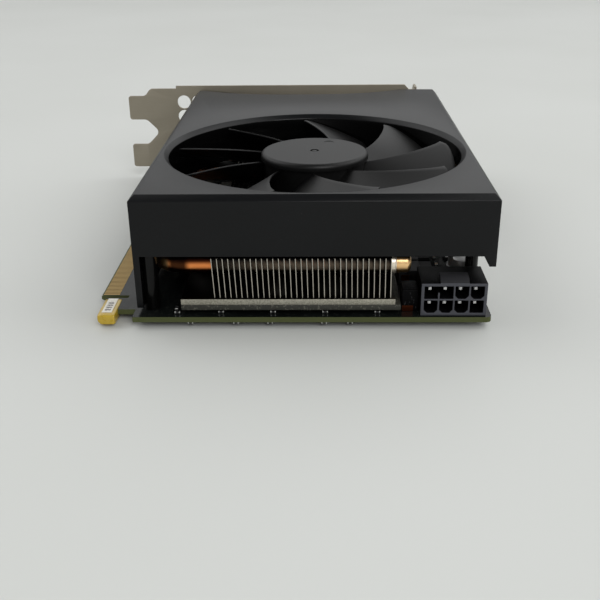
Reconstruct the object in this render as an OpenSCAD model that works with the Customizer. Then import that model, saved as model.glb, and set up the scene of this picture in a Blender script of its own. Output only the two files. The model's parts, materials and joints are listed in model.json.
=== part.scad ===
// Graphics card, two slots wide, with one axial fan, lying on its solder side.
// Lengths are in millimetres. Inside the modules X runs from the finger edge to the top edge of the card,
// Y from the tail edge to the slot bracket, and Z up from the component side of the board.

/* [Circuit board] */
// From the finger edge to the top edge
board_height = 111.15; // [108:0.05:118]
// From the tail edge to the edge at the bracket
board_length = 145; // [138:0.5:160]
// Thickness of the board
board_t = 1.57; // [1:0.01:2.4]
// Radius of the corner at the power header
board_corner_r = 1.5; // [0.5:0.1:3]
// How far the finger tab stands out of the board
tab_depth = 8.25; // [7:0.05:9]
// From the tail edge to the finger tab
tab_start = 14.6; // [12:0.1:18]
// Width of a contact finger
finger_w = 0.7; // [0.5:0.05:0.8]
// Length of a contact finger
finger_length = 4.7; // [3:0.1:5.6]
// Thickness of the gold on a finger
finger_t = 0.05; // [0.03:0.01:0.1]
// Depth of the bevel on the finger edge
finger_bevel = 0.4; // [0.2:0.05:0.6]

/* [Retention hook] */
// Inset of the hook from the finger edge
hook_inset = 2.1; // [0.5:0.1:3]
// Width of the hook arm
hook_w = 4.4; // [3.5:0.1:5.6]
// From the tail edge to the tip of the hook
hook_tip = 2.2; // [1.5:0.1:3]
// From the tail edge to the root of the hook
hook_root = 5.1; // [4.5:0.1:7]
// Gap between the hook and the board
latch_gap = 5.4; // [4.3:0.1:7]
// Slot between the hook and the fingers
hook_slot = 1.8; // [1.2:0.1:3]
// Thickness of the tape around the hook
tape_t = 0.2; // [0.1:0.05:0.4]
// How far the tape hangs under the board
tape_slack = 1; // [0.4:0.1:1.5]
// Width of the paper label on the tape
label_w = 2.8; // [1.5:0.1:4]

/* [Slot bracket] */
// Thickness of the sheet
sheet_t = 0.9; // [0.6:0.05:1.2]
// From the tongue tips to the outer face of the flange
bracket_length = 120.05; // [118:0.05:124]
// From the board to the inner face of the sheet
bracket_gap = 1.6; // [1:0.1:3]
// From the finger edge down to the tongue tips
tongue_reach = 16.1; // [14:0.1:18]
// Width of a tongue
tongue_w = 9.8; // [8:0.1:12]
// Length of a tongue
tongue_length = 7; // [4:0.1:9]
// Distance between two slots
slot_pitch = 20.32; // [20.32:0.01:21]
// Height of the first tongue's centre over the board
slot_z = 6.1; // [5:0.1:7]
// Half width of the sheet about a slot's centre
slot_half_w = 9; // [8.5:0.1:9.5]
// Depth of the flange
flange_depth = 11.4; // [9.5:0.1:14]
// Cut at the flange's upper outer corner
flange_cut = 6; // [3:0.1:8]
// Width of the screw notches
notch_w = 4.42; // [3.6:0.02:5]
// Diameter of the vent holes
vent_d = 5.5; // [3:0.1:5.7]
// Spacing of the vent holes
vent_pitch = 6.05; // [5.9:0.05:8]

/* [Video ports] */
// Spacing of the ports
port_pitch = 20.5; // [19.5:0.1:21]
// Length of a port's shell
port_length = 17; // [12:0.5:22]
// How far the shells reach past the bracket
port_out = 0.6; // [0.2:0.1:1.5]
// Sheet thickness of a shell
port_wall = 0.35; // [0.25:0.05:0.6]
// Mouth of the wide ports
wide_mouth = [16.1, 4.8]; // [4:0.1:18]
// Mouth of the narrow port
narrow_mouth = [14, 4.6]; // [4:0.1:16]
// Thickness of a port's tongue
port_tongue_t = 1.2; // [0.8:0.1:1.6]

/* [Power header] */
// Distance between two power pins
pin_pitch = 4.2; // [4:0.05:4.6]
// Width of a pin
pin_w = 0.9; // [0.8:0.05:1.4]
// Width of a socket cell
cell_w = 3.75; // [3:0.05:3.9]
// Depth of the socket cells
cell_depth = 9.6; // [7:0.1:10.5]
// Wall above the upper cells and under the lower ones
header_wall = 0.8; // [0.6:0.05:1.4]
// Length of the housing
header_length = 12.6; // [11:0.1:16]
// From the top edge of the board to the housing
header_inset = 1.55; // [0.5:0.05:4]
// From the tail edge to the housing's face
header_setback = 1; // [0:0.1:2]
// Width of the locking ramp
ramp_w = 7.8; // [4:0.1:10]
// Height of the locking ramp
ramp_h = 1.5; // [1:0.1:2]

/* [Shroud] */
// Height of the top face over the board
shroud_top = 34; // [32:0.1:40]
// Thickness of the walls
wall_t = 1.77; // [1.4:0.01:2.4]
// Thickness of the top plate
plate_t = 2; // [1.4:0.1:3]
// Bevel around the top face
edge_bevel = 1.55; // [0.6:0.05:1.9]
// How far the right wall stands past the board's top edge
shroud_over = 0.5; // [0:0.1:2]
// From the board's lower edge to the left wall
shroud_inset = 4.65; // [4:0.05:6]
// From the tail edge to the front wall
shroud_setback = 3; // [2.2:0.1:4]
// Lower edge of the front wall
front_z = 16.7; // [14.5:0.1:18]
// Lower edge of the right wall
side_z = 13.7; // [10:0.1:14]
// Lower edge of the left wall
foot_z = 1.4; // [1.1:0.1:3]
// Depth of the hollow in the rear edge
scoop_depth = 9; // [4:0.5:14]
// Width of the hollow in the rear edge
scoop_w = 80; // [60:1:86]
// From the front and side faces of the shroud to the fan opening
opening_margin = 3.8; // [3.5:0.1:6]

/* [Fan] */
// Number of blades
blade_count = 9; // [5:1:11]
// Gap between the blade tips and the opening
tip_gap = 1.3; // [1:0.1:4]
// How far the hub's top lies under the shroud's top
fan_sink = 1; // [0.5:0.1:3]
// Radius of the hub's cap
hub_r = 16.9; // [16:0.1:20]
// How far the hub's skirt lies inside the cap
cap_lip = 0.9; // [0.3:0.1:1.5]
// Height of the hub
hub_h = 11; // [9.5:0.1:13]
// Thickness of the hub's skirt
skirt_t = 1.5; // [1:0.1:2.4]
// Thickness of a blade
blade_t = 1.2; // [0.8:0.1:1.6]
// Drop of a blade from its leading to its trailing edge
blade_drop = 8.6; // [6:0.1:9]
// Angle that a blade covers
blade_span = 31; // [20:1:36]
// Radius of the shaft
shaft_r = 1.15; // [0.9:0.05:1.5]
// Running clearance of the shaft
shaft_clearance = 0.03; // [0.02:0.01:0.08]
// Outer radius of the bearing
bearing_r = 2.5; // [2.2:0.1:3]
// Thickness of the motor base and its arms
base_t = 1.5; // [1:0.1:2.5]
// Width of an arm
arm_w = 4.5; // [3:0.1:7]
// Gap between the motor base and the rotor
rotor_gap = 1.8; // [1.2:0.1:3]

/* [Heatsink] */
// Number of fins
fin_count = 33; // [20:1:36]
// Thickness of a fin
fin_t = 0.3; // [0.2:0.05:0.6]
// Length of the fins
fin_length = 108; // [100:1:116]
// From the left wall to the first fin
pipe_bay = 20.2; // [19:0.1:24]
// From the last fin to the right wall, with room for the chokes, power stages and capacitors
power_bay = 26.29; // [25:0.01:30]
// Thickness of the aluminium base
base_plate_t = 1.75; // [1:0.05:3]
// Thickness of the dark memory plate
memory_plate_t = 1.65; // [1.3:0.05:2.5]
// Height of the memory plate over the board
plate_z = 1.35; // [1.3:0.05:2]
// Diameter of the heat pipes
pipe_d = 6; // [5:0.5:6.5]
// Rise of the pipes from the base to the fins
pipe_rise = 5.3; // [4:0.1:6]

/* [Chips] */
// Side of the graphics chip's carrier
gpu_w = 38; // [30:0.5:40]
// Thickness of the carrier
gpu_t = 1.2; // [0.8:0.05:1.25]
// Size of the bare chip
die_size = [17.5, 15.5]; // [8:0.5:22]
// Layer of heat paste on the bare chip
paste_t = 0.1; // [0.05:0.01:0.2]
// Size of a memory chip
memory_size = [12, 14, 1]; // [0.8:0.1:15]
// Half spacing of the four cooler screws
cooler_screw_x = 21.4; // [20.5:0.1:23.5]
// Size of a choke
choke_size = [6.8, 8, 4.4]; // [3:0.1:9]
// Length of the input choke beside the power header
input_choke_length = 6.6; // [4:0.1:12]
// Height of the input choke
input_choke_h = 6.5; // [4:0.1:9]
// Number of power stages
stage_count = 6; // [4:1:7]
// Spacing of the power stages
stage_pitch = 9; // [8.5:0.1:12]
// Diameter of the capacitor cans
can_d = 6.2; // [4:0.1:7]
// Height of the capacitor cans
can_h = 7; // [5:0.1:9]

/* [Screws] */
// Radius of the small screws' shanks
screw_r = 0.95; // [0.7:0.05:1.2]
// Radius of the screw heads
head_r = 2.1; // [1.6:0.1:2.6]
// Height of the screw heads
head_h = 1.2; // [0.8:0.1:1.6]
// Thickness of the leaf spring behind the chip
spring_t = 0.8; // [0.5:0.1:1.2]

/* [Hidden] */
$fn = 64;

// Small clearances: slip for pieces that slide together, gap for pieces that stay apart
slip = 0.05;
gap = 0.3;
// Overlap of solids that are joined or cut
lap = 1;

// Edge connector: finger spacing and the lengths of its two parts on either side of the key
finger_pitch = 1;
long_fingers = 71;
short_fingers = 11;
finger_margin = 0.65;
key_gap = 1.9;
long_tab = (long_fingers - 1) * finger_pitch + 2 * finger_margin;
short_tab = (short_fingers - 1) * finger_pitch + 2 * finger_margin;
key_y = tab_start + long_tab;
tab_end = key_y + key_gap + short_tab;
bevel_length = 1.5 * finger_bevel;

// Board edges and the tape around the hook
hook_right = hook_inset + hook_w;
board_bottom = -board_t;
tape_r = (board_t + tape_slack + 2 * tape_t) / 2;
tape_side = 0.3;
tape_end = tab_start - hook_slot - 1;
label_t = 0.08;
label_side = 0.7;

// Bracket
bracket_y = board_length + bracket_gap;
bracket_out = bracket_y + sheet_t;
flange_x = bracket_length - tongue_reach;
tongue_x = tongue_length - tongue_reach;
upper_slot_z = slot_z + slot_pitch;
bracket_low = slot_z - slot_half_w;
bracket_high = upper_slot_z + slot_half_w;
bracket_step = 1.1;
bracket_step_x = 4.1;
shoulder = 2.3;
valley_x = tongue_x + (slot_pitch - tongue_w) / 2;
corner_x = 5;
corner_z = 1.9;
flange_low = bracket_low + corner_z / 2;
flange_high = bracket_high - corner_z / 2;
far_y = bracket_out + flange_depth;
notch_r = notch_w / 2;
notch_y = bracket_out + flange_depth / 2;
lower_notch_z = bracket_low + 4;
upper_notch_z = lower_notch_z + slot_pitch;
vent_x = bracket_step_x + vent_pitch / 2;
vent_z = bracket_high - shoulder - vent_d / 2 - 1.6;
vent_columns = floor((flange_x - corner_x - vent_x - vent_d / 2) / vent_pitch) + 1;
ear_size = [5, 9];
ear_x = [tab_depth + 6.5, flange_x - 2 - ear_size[0] / 2];
ear_screw_y = bracket_y - ear_size[1] + 3.5;

// Ports, the narrow one first
port_count = 4;
port_middle = (ear_x[0] + ear_x[1]) / 2;
port_x = [for (i = [0 : port_count - 1]) port_middle + (i - (port_count - 1) / 2) * port_pitch];
port_front = bracket_out + port_out;
port_back = port_front - port_length;
port_block = 5;
port_tongue_inset = 2.1;
port_recess = 1.2;

// Power header
header_columns = 4;
header_w = header_columns * pin_pitch + 1.2;
header_h = 2 * header_wall + pin_pitch + cell_w;
header_x = board_height - header_inset - header_w / 2;
header_back = header_setback + header_length;
cell_z = [header_wall + cell_w / 2, header_wall + cell_w / 2 + pin_pitch];
cell_chamfer = 0.9;
pin_recess = 3;
pin_tail = 1.2;
pin_bend_y = [header_back + 1, header_back + 3.6];

// Shroud
left_x = tab_depth + shroud_inset;
right_x = board_height + shroud_over;
left_inner = left_x + wall_t;
right_inner = right_x - wall_t;
front_y = shroud_setback;
front_inner = front_y + wall_t;
rear_gap = 2.6;
rear_y = bracket_y - rear_gap;
plate_low = shroud_top - plate_t;
leg_slope = 1.6;
rear_corner_r = 4;
corner_lap = 0.15;
boss_r = 2.3;
post_r = 1.9;
post_lap = 0.4;
rear_boss_inset = 26;
rear_boss_y = rear_y - rear_boss_inset;
shroud_posts = [
    [left_inner + boss_r - post_lap, front_inner + boss_r - post_lap, boss_r],
    [right_inner - post_r + post_lap / 2, header_back + 6.9, post_r],
    [left_inner + boss_r - post_lap, rear_boss_y, boss_r],
    [right_inner - boss_r + post_lap, rear_boss_y, boss_r]
];
shroud_screw_length = 6;

// Fan, from the top down
fan_x = (left_x + right_x) / 2;
opening_r = fan_x - left_x - opening_margin;
fan_y = front_y + opening_margin + opening_r;
opening_bevel = 1.4;
duct_t = 1.8;
tip_r = opening_r - tip_gap;
hub_top = shroud_top - fan_sink;
hub_low = hub_top - hub_h;
skirt_r = hub_r - cap_lip;
skirt_inner = skirt_r - skirt_t;
cap_t = 2.2;
cap_round = 1.4;
base_top = hub_low - rotor_gap;
base_low = base_top - base_t;
duct_low = base_top + gap;
arm_count = 4;
arm_boss_r = 2.6;
arm_reach = opening_r + duct_t + arm_boss_r + 3.5;
motor_base_r = skirt_r - 1;
fan_screw_length = 5;

// Motor, inside the hub
roof_z = hub_top - cap_t;
yoke_t = 0.8;
yoke_inner = skirt_inner - yoke_t;
magnet_t = 1.4;
magnet_inner = yoke_inner - magnet_t;
air_gap = 0.5;
stator_r = magnet_inner - air_gap;
tube_t = 1.1;
tube_r = bearing_r + tube_t;
tube_top = roof_z - 1.6;
motor_low = hub_low + 0.4;
magnet_top = roof_z - yoke_t - 0.6;
core_h = 3.6;
core_low = (motor_low + magnet_top) / 2 - core_h / 2;
core_ring = 1.8;
pole_count = 4;
pole_w = 3.2;
shoe_t = 1.5;
coil_t = 0.7;
motor_board_t = 0.8;
shaft_floor = 0.6;
shaft_low = base_low + shaft_floor + 0.2;
shaft_top = hub_top - 0.8;
clip_t = 0.5;
clip_z = shaft_low + 0.3;
bearing_low = clip_z + clip_t + 0.3;
bearing_high = tube_top - 0.3;

// Blades: the leading edge sweeps round and rises from the hub to the tip
blade_root_r = skirt_r - skirt_t / 2;
blade_start = -12.1;
lead_sweep = 38.8;
lead_sweep_back = 11.3;
lead_rise = 2.8;
tip_corner = 3;
blade_edge = 0.3;
lead_z = hub_top - 2.9;
radial_steps = 6;
chord_steps = 4;

// Heatsink
memory_plate_top = plate_z + memory_plate_t;
base_plate_top = memory_plate_top + base_plate_t;
fin_top = base_low - 0.7;
fin_x = left_inner + pipe_bay;
fin_stack_w = right_inner - power_bay - fin_x;
fin_pitch = (fin_stack_w - fin_t) / (fin_count - 1);
fin_front = 2.4;
gpu_x = fin_x + fin_stack_w / 2;
gpu_y = 64;
memory_gap = 2.3;
memory_side = gpu_w / 2 + memory_size[0] / 2 + memory_gap;
plate_front = 1.6;
plate_margin = 0.46;
plate_left = gpu_x - memory_side - memory_size[0] / 2 - plate_margin;
plate_right = fin_x + fin_stack_w + 1.1;
plate_length = fin_length + 2 * (fin_front - plate_front);
memory_plate_extra = 1.6;
die_t = 0.7;
cold_plate_w = gpu_w - 2;
cold_plate_t = memory_plate_top - gpu_t - die_t - paste_t;

// Heat pipes: a C in a plane tilted about X
pipe_r = pipe_d / 2;
pipe_low_z = base_plate_top + pipe_r + slip;
pipe_high_z = pipe_low_z + pipe_rise;
pipe_step = pipe_d + 1.5;
pipe_wall_gap = 0.6;
outer_pipe_x = left_inner + pipe_r + pipe_wall_gap;
inner_pipe_x = outer_pipe_x + pipe_d + 1;
outer_pipe = [8.4, gpu_y - pipe_step / 2];
inner_pipe = [outer_pipe[0] + 2 * pipe_step + 3, outer_pipe[1] - pipe_step];
rear_pipe = [fin_front + fin_length - 8, gpu_y + pipe_step / 2];
pipe_bend = 9;
inner_bend = fin_x - inner_pipe_x - 0.4;
pipe_end_x = fin_x + fin_stack_w + 5.5;
pipe_hole_gap = 0.08;
pipe_end_r = 1.3;

// Parts on the board
memory_pitch = memory_size[0] + 2;
memory_row = gpu_w / 2 + memory_size[1] / 2 + 5;
memory_side_pitch = memory_size[1] + 2;
memory_end = memory_side_pitch / 2 + memory_size[1] / 2;
memory_places = concat(
    [for (i = [-1 : 1]) [gpu_x + i * memory_pitch, gpu_y - memory_row]],
    [for (i = [-1 : 1]) [gpu_x + i * memory_pitch, gpu_y + memory_row]],
    [for (i = [-0.5, 0.5]) [gpu_x - memory_side, gpu_y + i * memory_side_pitch]]
);
input_choke_front = header_setback + 3;
input_choke_left = plate_right + memory_plate_extra + gap;
input_choke_right = header_x - header_w / 2 - gap;
stage_y = header_back + 12.8;
stage_size = [4, 6, 0.9];
stage_gap = 0.6;
cooler_screw_r = 1.1;
cooler_head_r = 2.7;
choke_gap = 1;
choke_left = max(plate_right + memory_plate_extra, gpu_x + cooler_screw_x + cooler_head_r) + choke_gap;
choke_x = choke_left + choke_size[0] / 2;
stage_x = choke_x + choke_size[0] / 2 + stage_gap + stage_size[0] / 2;
edge_gap = 1.4;
can_x = board_height - can_d / 2 - edge_gap;
can_pitch = max(stage_pitch, can_d + 1);
side_bay_x = (left_inner + plate_left) / 2;
small_choke = [4.2, 4.2, 2.4];
small_choke_gap = 2;
chip_size = [1.6, 0.8, 0.8];
chip_pitch = 14.5;
chip_start = 10.9;
chip_edge = 1;
chip_row = 3;
chip_step = 3;
cooler_screw_places = [for (i = [-1, 1], j = [-1, 1]) [gpu_x + i * cooler_screw_x, gpu_y + j * cooler_screw_x]];
fan_header_size = [10.4, 3.6, 6];
fan_header_x = board_height - fan_header_size[0] / 2 - edge_gap;
fan_header_gap = 12;
fan_header_y = stage_y + stage_count * stage_pitch + fan_header_gap;
fan_pin_pitch = 2.54;
fan_pin_w = 0.6;
controller_size = [6, 6, 0.9];
controller_gap = 7;
last_choke_end = stage_y + (stage_count - 1) * stage_pitch + choke_size[1] / 2;
controller_y = last_choke_end + controller_gap + controller_size[1] / 2;
bios_size = [4, 5, 1.5];
bios_gap = 4.5;
bios_y = controller_y + controller_size[1] / 2 + bios_gap + bios_size[1] / 2;
crystal_size = [2.5, 3.2, 0.8];
crystal_gap = 8.4;
crystal_y = gpu_y - memory_end - crystal_gap - crystal_size[1] / 2;

// Frame: the card stands on its screw heads, and the origin is under the middle of its outline
low_z = board_bottom - spring_t - head_h;
far_x = max(right_x, flange_x);
near_y = min(0, header_setback);

module in_frame() {
    translate([-(far_x - tongue_reach) / 2, -(far_y + near_y) / 2, -low_z]) children();
}

// Box on the plane z, centred on a place
module box_at(place, size, z = 0) {
    translate([place[0] - size[0] / 2, place[1] - size[1] / 2, z]) cube(size);
}

// Upright cylinder from z0 to z1
module rod(place, r, z0, z1) {
    translate([place[0], place[1], z0]) cylinder(r = r, h = z1 - z0);
}

// Outline in X and Z, drawn from y0 to y1
module along_y(y0, y1) {
    translate([0, y1, 0]) rotate([90, 0, 0]) linear_extrude(height = y1 - y0) children();
}

// Outline in Y and Z, drawn from x0 to x1
module along_x(x0, x1) {
    translate([x0, 0, 0]) rotate([90, 0, 90]) linear_extrude(height = x1 - x0) children();
}

// Circuit board and what is fixed to its edge

module board_outline() {
    difference() {
        union() {
            translate([tab_depth, 0]) square([board_height - tab_depth - board_corner_r, board_length]);
            translate([board_height - board_corner_r - lap, board_corner_r])
                square([board_corner_r + lap, board_length - board_corner_r]);
            translate([board_height - board_corner_r, board_corner_r]) circle(r = board_corner_r);
            translate([0, tab_start]) square([tab_depth + lap, tab_end - tab_start]);
            translate([hook_inset, hook_tip])
                square([tab_depth + lap - hook_inset, tab_start - hook_slot - hook_tip]);
        }
        translate([hook_right, -lap]) square([latch_gap, hook_root + lap]);
        translate([-lap, key_y]) square([tab_depth - key_gap / 2 + lap, key_gap]);
        translate([tab_depth - key_gap / 2, key_y + key_gap / 2]) circle(d = key_gap);
    }
}

module bevel_cut() {
    along_y(tab_start - lap, tab_end + lap) {
        polygon([[-lap, -finger_bevel - finger_bevel * lap / bevel_length], [-lap, lap], [bevel_length, lap],
                 [bevel_length, 0]]);
        polygon([[-lap, board_bottom + finger_bevel + finger_bevel * lap / bevel_length], [-lap, board_bottom - lap],
                 [bevel_length, board_bottom - lap], [bevel_length, board_bottom]]);
    }
}

module circuit_board() {
    color([0.07, 0.08, 0.07])
    difference() {
        translate([0, 0, board_bottom]) linear_extrude(height = board_t) board_outline();
        bevel_cut();
        for (p = shroud_posts) rod(p, screw_r + slip, board_bottom - lap, lap);
        for (x = ear_x) rod([x, ear_screw_y], screw_r + slip, board_bottom - lap, lap);
        for (p = cooler_screw_places) rod(p, cooler_screw_r + slip, board_bottom - lap, lap);
        for (x = header_columns_x(), y = pin_bend_y)
            box_at([x, y], [pin_w + 2 * slip, pin_w + 2 * slip, board_t + 2 * lap], board_bottom - lap);
        for (i = [-1.5 : 1.5])
            box_at([fan_header_x + i * fan_pin_pitch, fan_header_y],
                   [fan_pin_w + 2 * slip, fan_pin_w + 2 * slip, board_t + 2 * lap], board_bottom - lap);
    }
}

// One contact on each side of the tab for each finger place
module edge_contacts() {
    places = concat(
        [for (i = [0 : long_fingers - 1]) tab_start + finger_margin + i * finger_pitch],
        [for (i = [0 : short_fingers - 1]) key_y + key_gap + finger_margin + i * finger_pitch]
    );
    color([0.83, 0.68, 0.35])
    for (y = places, z = [0, board_bottom - finger_t])
        translate([bevel_length, y - finger_w / 2, z]) cube([finger_length, finger_w, finger_t]);
}

// Loop of tape over the tip of the hook, in Y and Z
module tape_outline(inset) {
    translate([hook_tip, tape_t - tape_r]) {
        circle(r = tape_r - inset);
        translate([0, inset - tape_r]) square([tape_end - hook_tip + (inset > 0 ? lap : 0), 2 * (tape_r - inset)]);
    }
}

module hook_tape() {
    color([0.86, 0.67, 0.12])
    along_x(hook_inset - tape_side, hook_right + tape_side) difference() {
        tape_outline(0);
        tape_outline(tape_t);
    }
}

module hook_label() {
    color("white")
    translate([hook_inset + label_side, hook_tip + 0.4, tape_t]) cube([label_w, tape_end - hook_tip - 0.4, label_t]);
}

// Slot bracket, its ports and its screws

module bracket_outline() {
    difference() {
        polygon([
            [bracket_step_x, bracket_low], [bracket_step_x, bracket_low + bracket_step],
            [tongue_x + shoulder, bracket_low + bracket_step], [tongue_x, slot_z - tongue_w / 2],
            [-tongue_reach, slot_z - tongue_w / 2], [-tongue_reach, slot_z + tongue_w / 2],
            [tongue_x, slot_z + tongue_w / 2], [valley_x, (slot_z + upper_slot_z) / 2],
            [tongue_x, upper_slot_z - tongue_w / 2], [-tongue_reach, upper_slot_z - tongue_w / 2],
            [-tongue_reach, upper_slot_z + tongue_w / 2], [tongue_x, upper_slot_z + tongue_w / 2],
            [tongue_x + shoulder, bracket_high - bracket_step], [bracket_step_x, bracket_high - bracket_step],
            [bracket_step_x, bracket_high], [flange_x - corner_x, bracket_high],
            [flange_x - corner_x + corner_z, bracket_high - corner_z], [flange_x, bracket_high - corner_z],
            [flange_x, bracket_low + corner_z], [flange_x - corner_x + corner_z, bracket_low + corner_z],
            [flange_x - corner_x, bracket_low]
        ]);
        for (i = [0 : vent_columns - 1], j = [0 : 1])
            translate([vent_x + i * vent_pitch, vent_z - j * vent_pitch]) circle(d = vent_d);
        for (i = [0 : port_count - 1]) translate([port_x[i], 0]) port_profile(i, port_wall + gap);
    }
}

// Screw notches of the flange, in Y and Z: one opens downwards, one away from the card
module notch_outline() {
    translate([notch_y, lower_notch_z]) circle(r = notch_r);
    translate([notch_y - notch_r, bracket_low - lap]) square([notch_w, lower_notch_z - bracket_low + lap]);
    translate([notch_y, upper_notch_z]) circle(r = notch_r);
    translate([notch_y, upper_notch_z - notch_r]) square([flange_depth, notch_w]);
}

module slot_bracket() {
    color([0.55, 0.52, 0.48])
    union() {
        along_y(bracket_y, bracket_out) bracket_outline();
        along_x(flange_x - sheet_t, flange_x) difference() {
            polygon([
                [bracket_y, flange_low], [far_y, flange_low], [far_y, flange_high - flange_cut],
                [far_y - flange_cut, flange_high], [bracket_y, flange_high]
            ]);
            notch_outline();
        }
        for (x = ear_x) difference() {
            box_at([x, bracket_y - ear_size[1] / 2 + lap / 4], [ear_size[0], ear_size[1] + lap / 2, sheet_t]);
            rod([x, ear_screw_y], screw_r + slip, -lap, sheet_t + lap);
        }
    }
}

// Screw from under the board, with its head's top at z and a driver recess
module board_screw(place, z, r, head, top) {
    difference() {
        union() {
            rod(place, head, z - head_h, z);
            rod(place, r, z - lap / 2, top);
        }
        for (a = [0, 90]) translate([place[0], place[1], z - head_h])
            rotate([0, 0, a]) cube([1.3 * head, 0.25 * head, head_h], center = true);
    }
}

module bracket_screws() {
    color("silver")
    for (x = ear_x) board_screw([x, ear_screw_y], board_bottom, screw_r, head_r, sheet_t + gap);
}

// Mouth of a port in X and Z, grown by more: the narrow one tapers, the wide ones have one corner cut
module port_profile(i, more) {
    mouth = i == 0 ? narrow_mouth : wide_mouth;
    w = mouth[0] / 2 + more;
    low = port_wall - more;
    high = port_wall + mouth[1] + more;
    cut = 1.4;
    left_cut = i == 0 ? cut : 0;
    polygon([[-w + left_cut, low], [w - cut, low], [w, low + cut], [w, high], [-w, high], [-w, low + left_cut]]);
}

module port_shell(i) {
    translate([port_x[i], 0, 0]) difference() {
        along_y(port_back, port_front) port_profile(i, port_wall);
        along_y(port_back + port_wall, port_front + lap) port_profile(i, 0);
    }
}

// Block at the back of a port with the tongue that carries its contacts
module port_tongue(i) {
    mouth = i == 0 ? narrow_mouth : wide_mouth;
    translate([port_x[i], 0, 0]) {
        along_y(port_back + port_wall + slip, port_back + port_wall + port_block) port_profile(i, -slip);
        translate([port_tongue_inset - mouth[0] / 2, port_back + port_wall + port_block - lap,
                   port_wall + (mouth[1] - port_tongue_t) / 2])
            cube([mouth[0] - 2 * port_tongue_inset, port_length - port_block - port_wall - port_recess + lap,
                  port_tongue_t]);
    }
}

module narrow_port_shell() { color("gainsboro") port_shell(0); }
module narrow_port_tongue() { color([0.1, 0.1, 0.1]) port_tongue(0); }
module wide_port_shells() { color("gainsboro") for (i = [1 : port_count - 1]) port_shell(i); }
module wide_port_tongues() { color([0.1, 0.1, 0.1]) for (i = [1 : port_count - 1]) port_tongue(i); }

// Power header

function header_columns_x() = [for (i = [0 : header_columns - 1])
    header_x + (i - (header_columns - 1) / 2) * pin_pitch];

// A socket cell in X and Z, with its lower corners cut if it is keyed
module cell_outline(keyed) {
    w = cell_w / 2;
    cut = keyed ? cell_chamfer : 0;
    polygon([[-w + cut, -w], [w - cut, -w], [w, -w + cut], [w, w], [-w, w], [-w, -w + cut]]);
}

module power_header() {
    keyed = [[true, true, true, false], [false, false, true, true]];
    x = header_columns_x();
    color([0.06, 0.06, 0.06])
    difference() {
        union() {
            translate([header_x - header_w / 2, header_setback, 0]) cube([header_w, header_length, header_h]);
            along_x(header_x - ramp_w / 2, header_x + ramp_w / 2) translate([header_setback, header_h])
                polygon([[0, -lap], [0, 0.4 * ramp_h], [1.4, ramp_h], [4.8, ramp_h], [4.8, -lap]]);
        }
        for (i = [0 : header_columns - 1], j = [0 : 1]) {
            translate([x[i], 0, cell_z[j]])
                along_y(header_setback - lap, header_setback + cell_depth) cell_outline(keyed[j][i]);
            translate([x[i] - pin_w / 2 - slip, header_setback, cell_z[j] - pin_w / 2 - slip])
                cube([pin_w + 2 * slip, header_length + lap, pin_w + 2 * slip]);
        }
        translate([x[0], header_setback - lap, cell_z[1]])
            cube([pin_pitch, lap + cell_depth / 2, cell_w / 2]);
    }
}

module power_pins() {
    color("gainsboro")
    for (x = header_columns_x(), j = [0 : 1]) {
        tip_y = header_setback + pin_recess;
        translate([x - pin_w / 2, tip_y, cell_z[j] - pin_w / 2])
            cube([pin_w, pin_bend_y[j] + pin_w / 2 - tip_y, pin_w]);
        box_at([x, pin_bend_y[j]], [pin_w, pin_w, cell_z[j] + board_t + pin_tail], board_bottom - pin_tail);
    }
}

// Shroud and fan

// Half of the hollow in the rear edge, as share of the depth at share t of the half width
function scoop(t) = 1 - pow(abs(t), 3);

module shroud_block(low) {
    c = edge_bevel;
    intersection() {
        along_y(front_y - lap, rear_y) polygon([[left_x, low], [right_x, low], [right_x, shroud_top - c],
            [right_x - c, shroud_top], [left_x + c, shroud_top], [left_x, shroud_top - c]]);
        along_x(left_x - lap, right_x + lap) polygon([[front_y, low], [rear_y, low], [rear_y, shroud_top],
            [front_y + c, shroud_top], [front_y, shroud_top - c]]);
    }
}

module shroud() {
    scoop_x = fan_x - 6;
    scoop_steps = 16;
    color([0.16, 0.17, 0.17])
    difference() {
        union() {
            difference() {
                shroud_block(foot_z);
                translate([left_inner, front_inner, foot_z - lap])
                    cube([right_inner - left_inner, rear_y - front_inner + lap, plate_low - foot_z + lap]);
                along_y(front_y - lap, front_inner + lap) polygon([[left_inner, foot_z - lap],
                    [right_x + lap, foot_z - lap], [right_x + lap, side_z], [right_inner, side_z],
                    [right_inner - leg_slope, front_z], [left_inner, front_z]]);
                translate([right_inner - lap, front_y - lap, foot_z - lap])
                    cube([wall_t + 2 * lap, rear_y - front_y + 2 * lap, side_z - foot_z + lap]);
            }
            rod([fan_x, fan_y], opening_r + duct_t, duct_low, plate_low + lap / 2);
            for (p = shroud_posts) rod(p, p[2], 0, plate_low + lap / 2);
            for (p = arm_places()) rod(p, arm_boss_r, base_top, plate_low + lap / 2);
        }
        rod([fan_x, fan_y], opening_r, foot_z, shroud_top + lap);
        translate([fan_x, fan_y, shroud_top - 2 * opening_bevel])
            cylinder(r1 = opening_r - opening_bevel, r2 = opening_r + 2 * opening_bevel, h = 3 * opening_bevel);
        for (p = shroud_posts) rod(p, screw_r + slip, -lap, shroud_screw_length + gap);
        for (p = arm_places()) rod(p, screw_r + slip, base_top - lap, base_top + fan_screw_length + gap);
        translate([left_x - corner_lap, rear_y + corner_lap, foot_z - lap])
            linear_extrude(height = shroud_top - foot_z + 2 * lap) difference() {
                translate([-lap, -rear_corner_r]) square([rear_corner_r + lap, rear_corner_r + lap]);
                translate([rear_corner_r, -rear_corner_r]) circle(r = rear_corner_r);
            }
        translate([scoop_x, rear_y, plate_low - lap]) linear_extrude(height = plate_t + 2 * lap)
            polygon(concat(
                [for (i = [-scoop_steps : scoop_steps])
                    [i / scoop_steps * scoop_w / 2, -scoop_depth * scoop(i / scoop_steps)]],
                [[scoop_w / 2, lap], [-scoop_w / 2, lap]]));
    }
}

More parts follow.
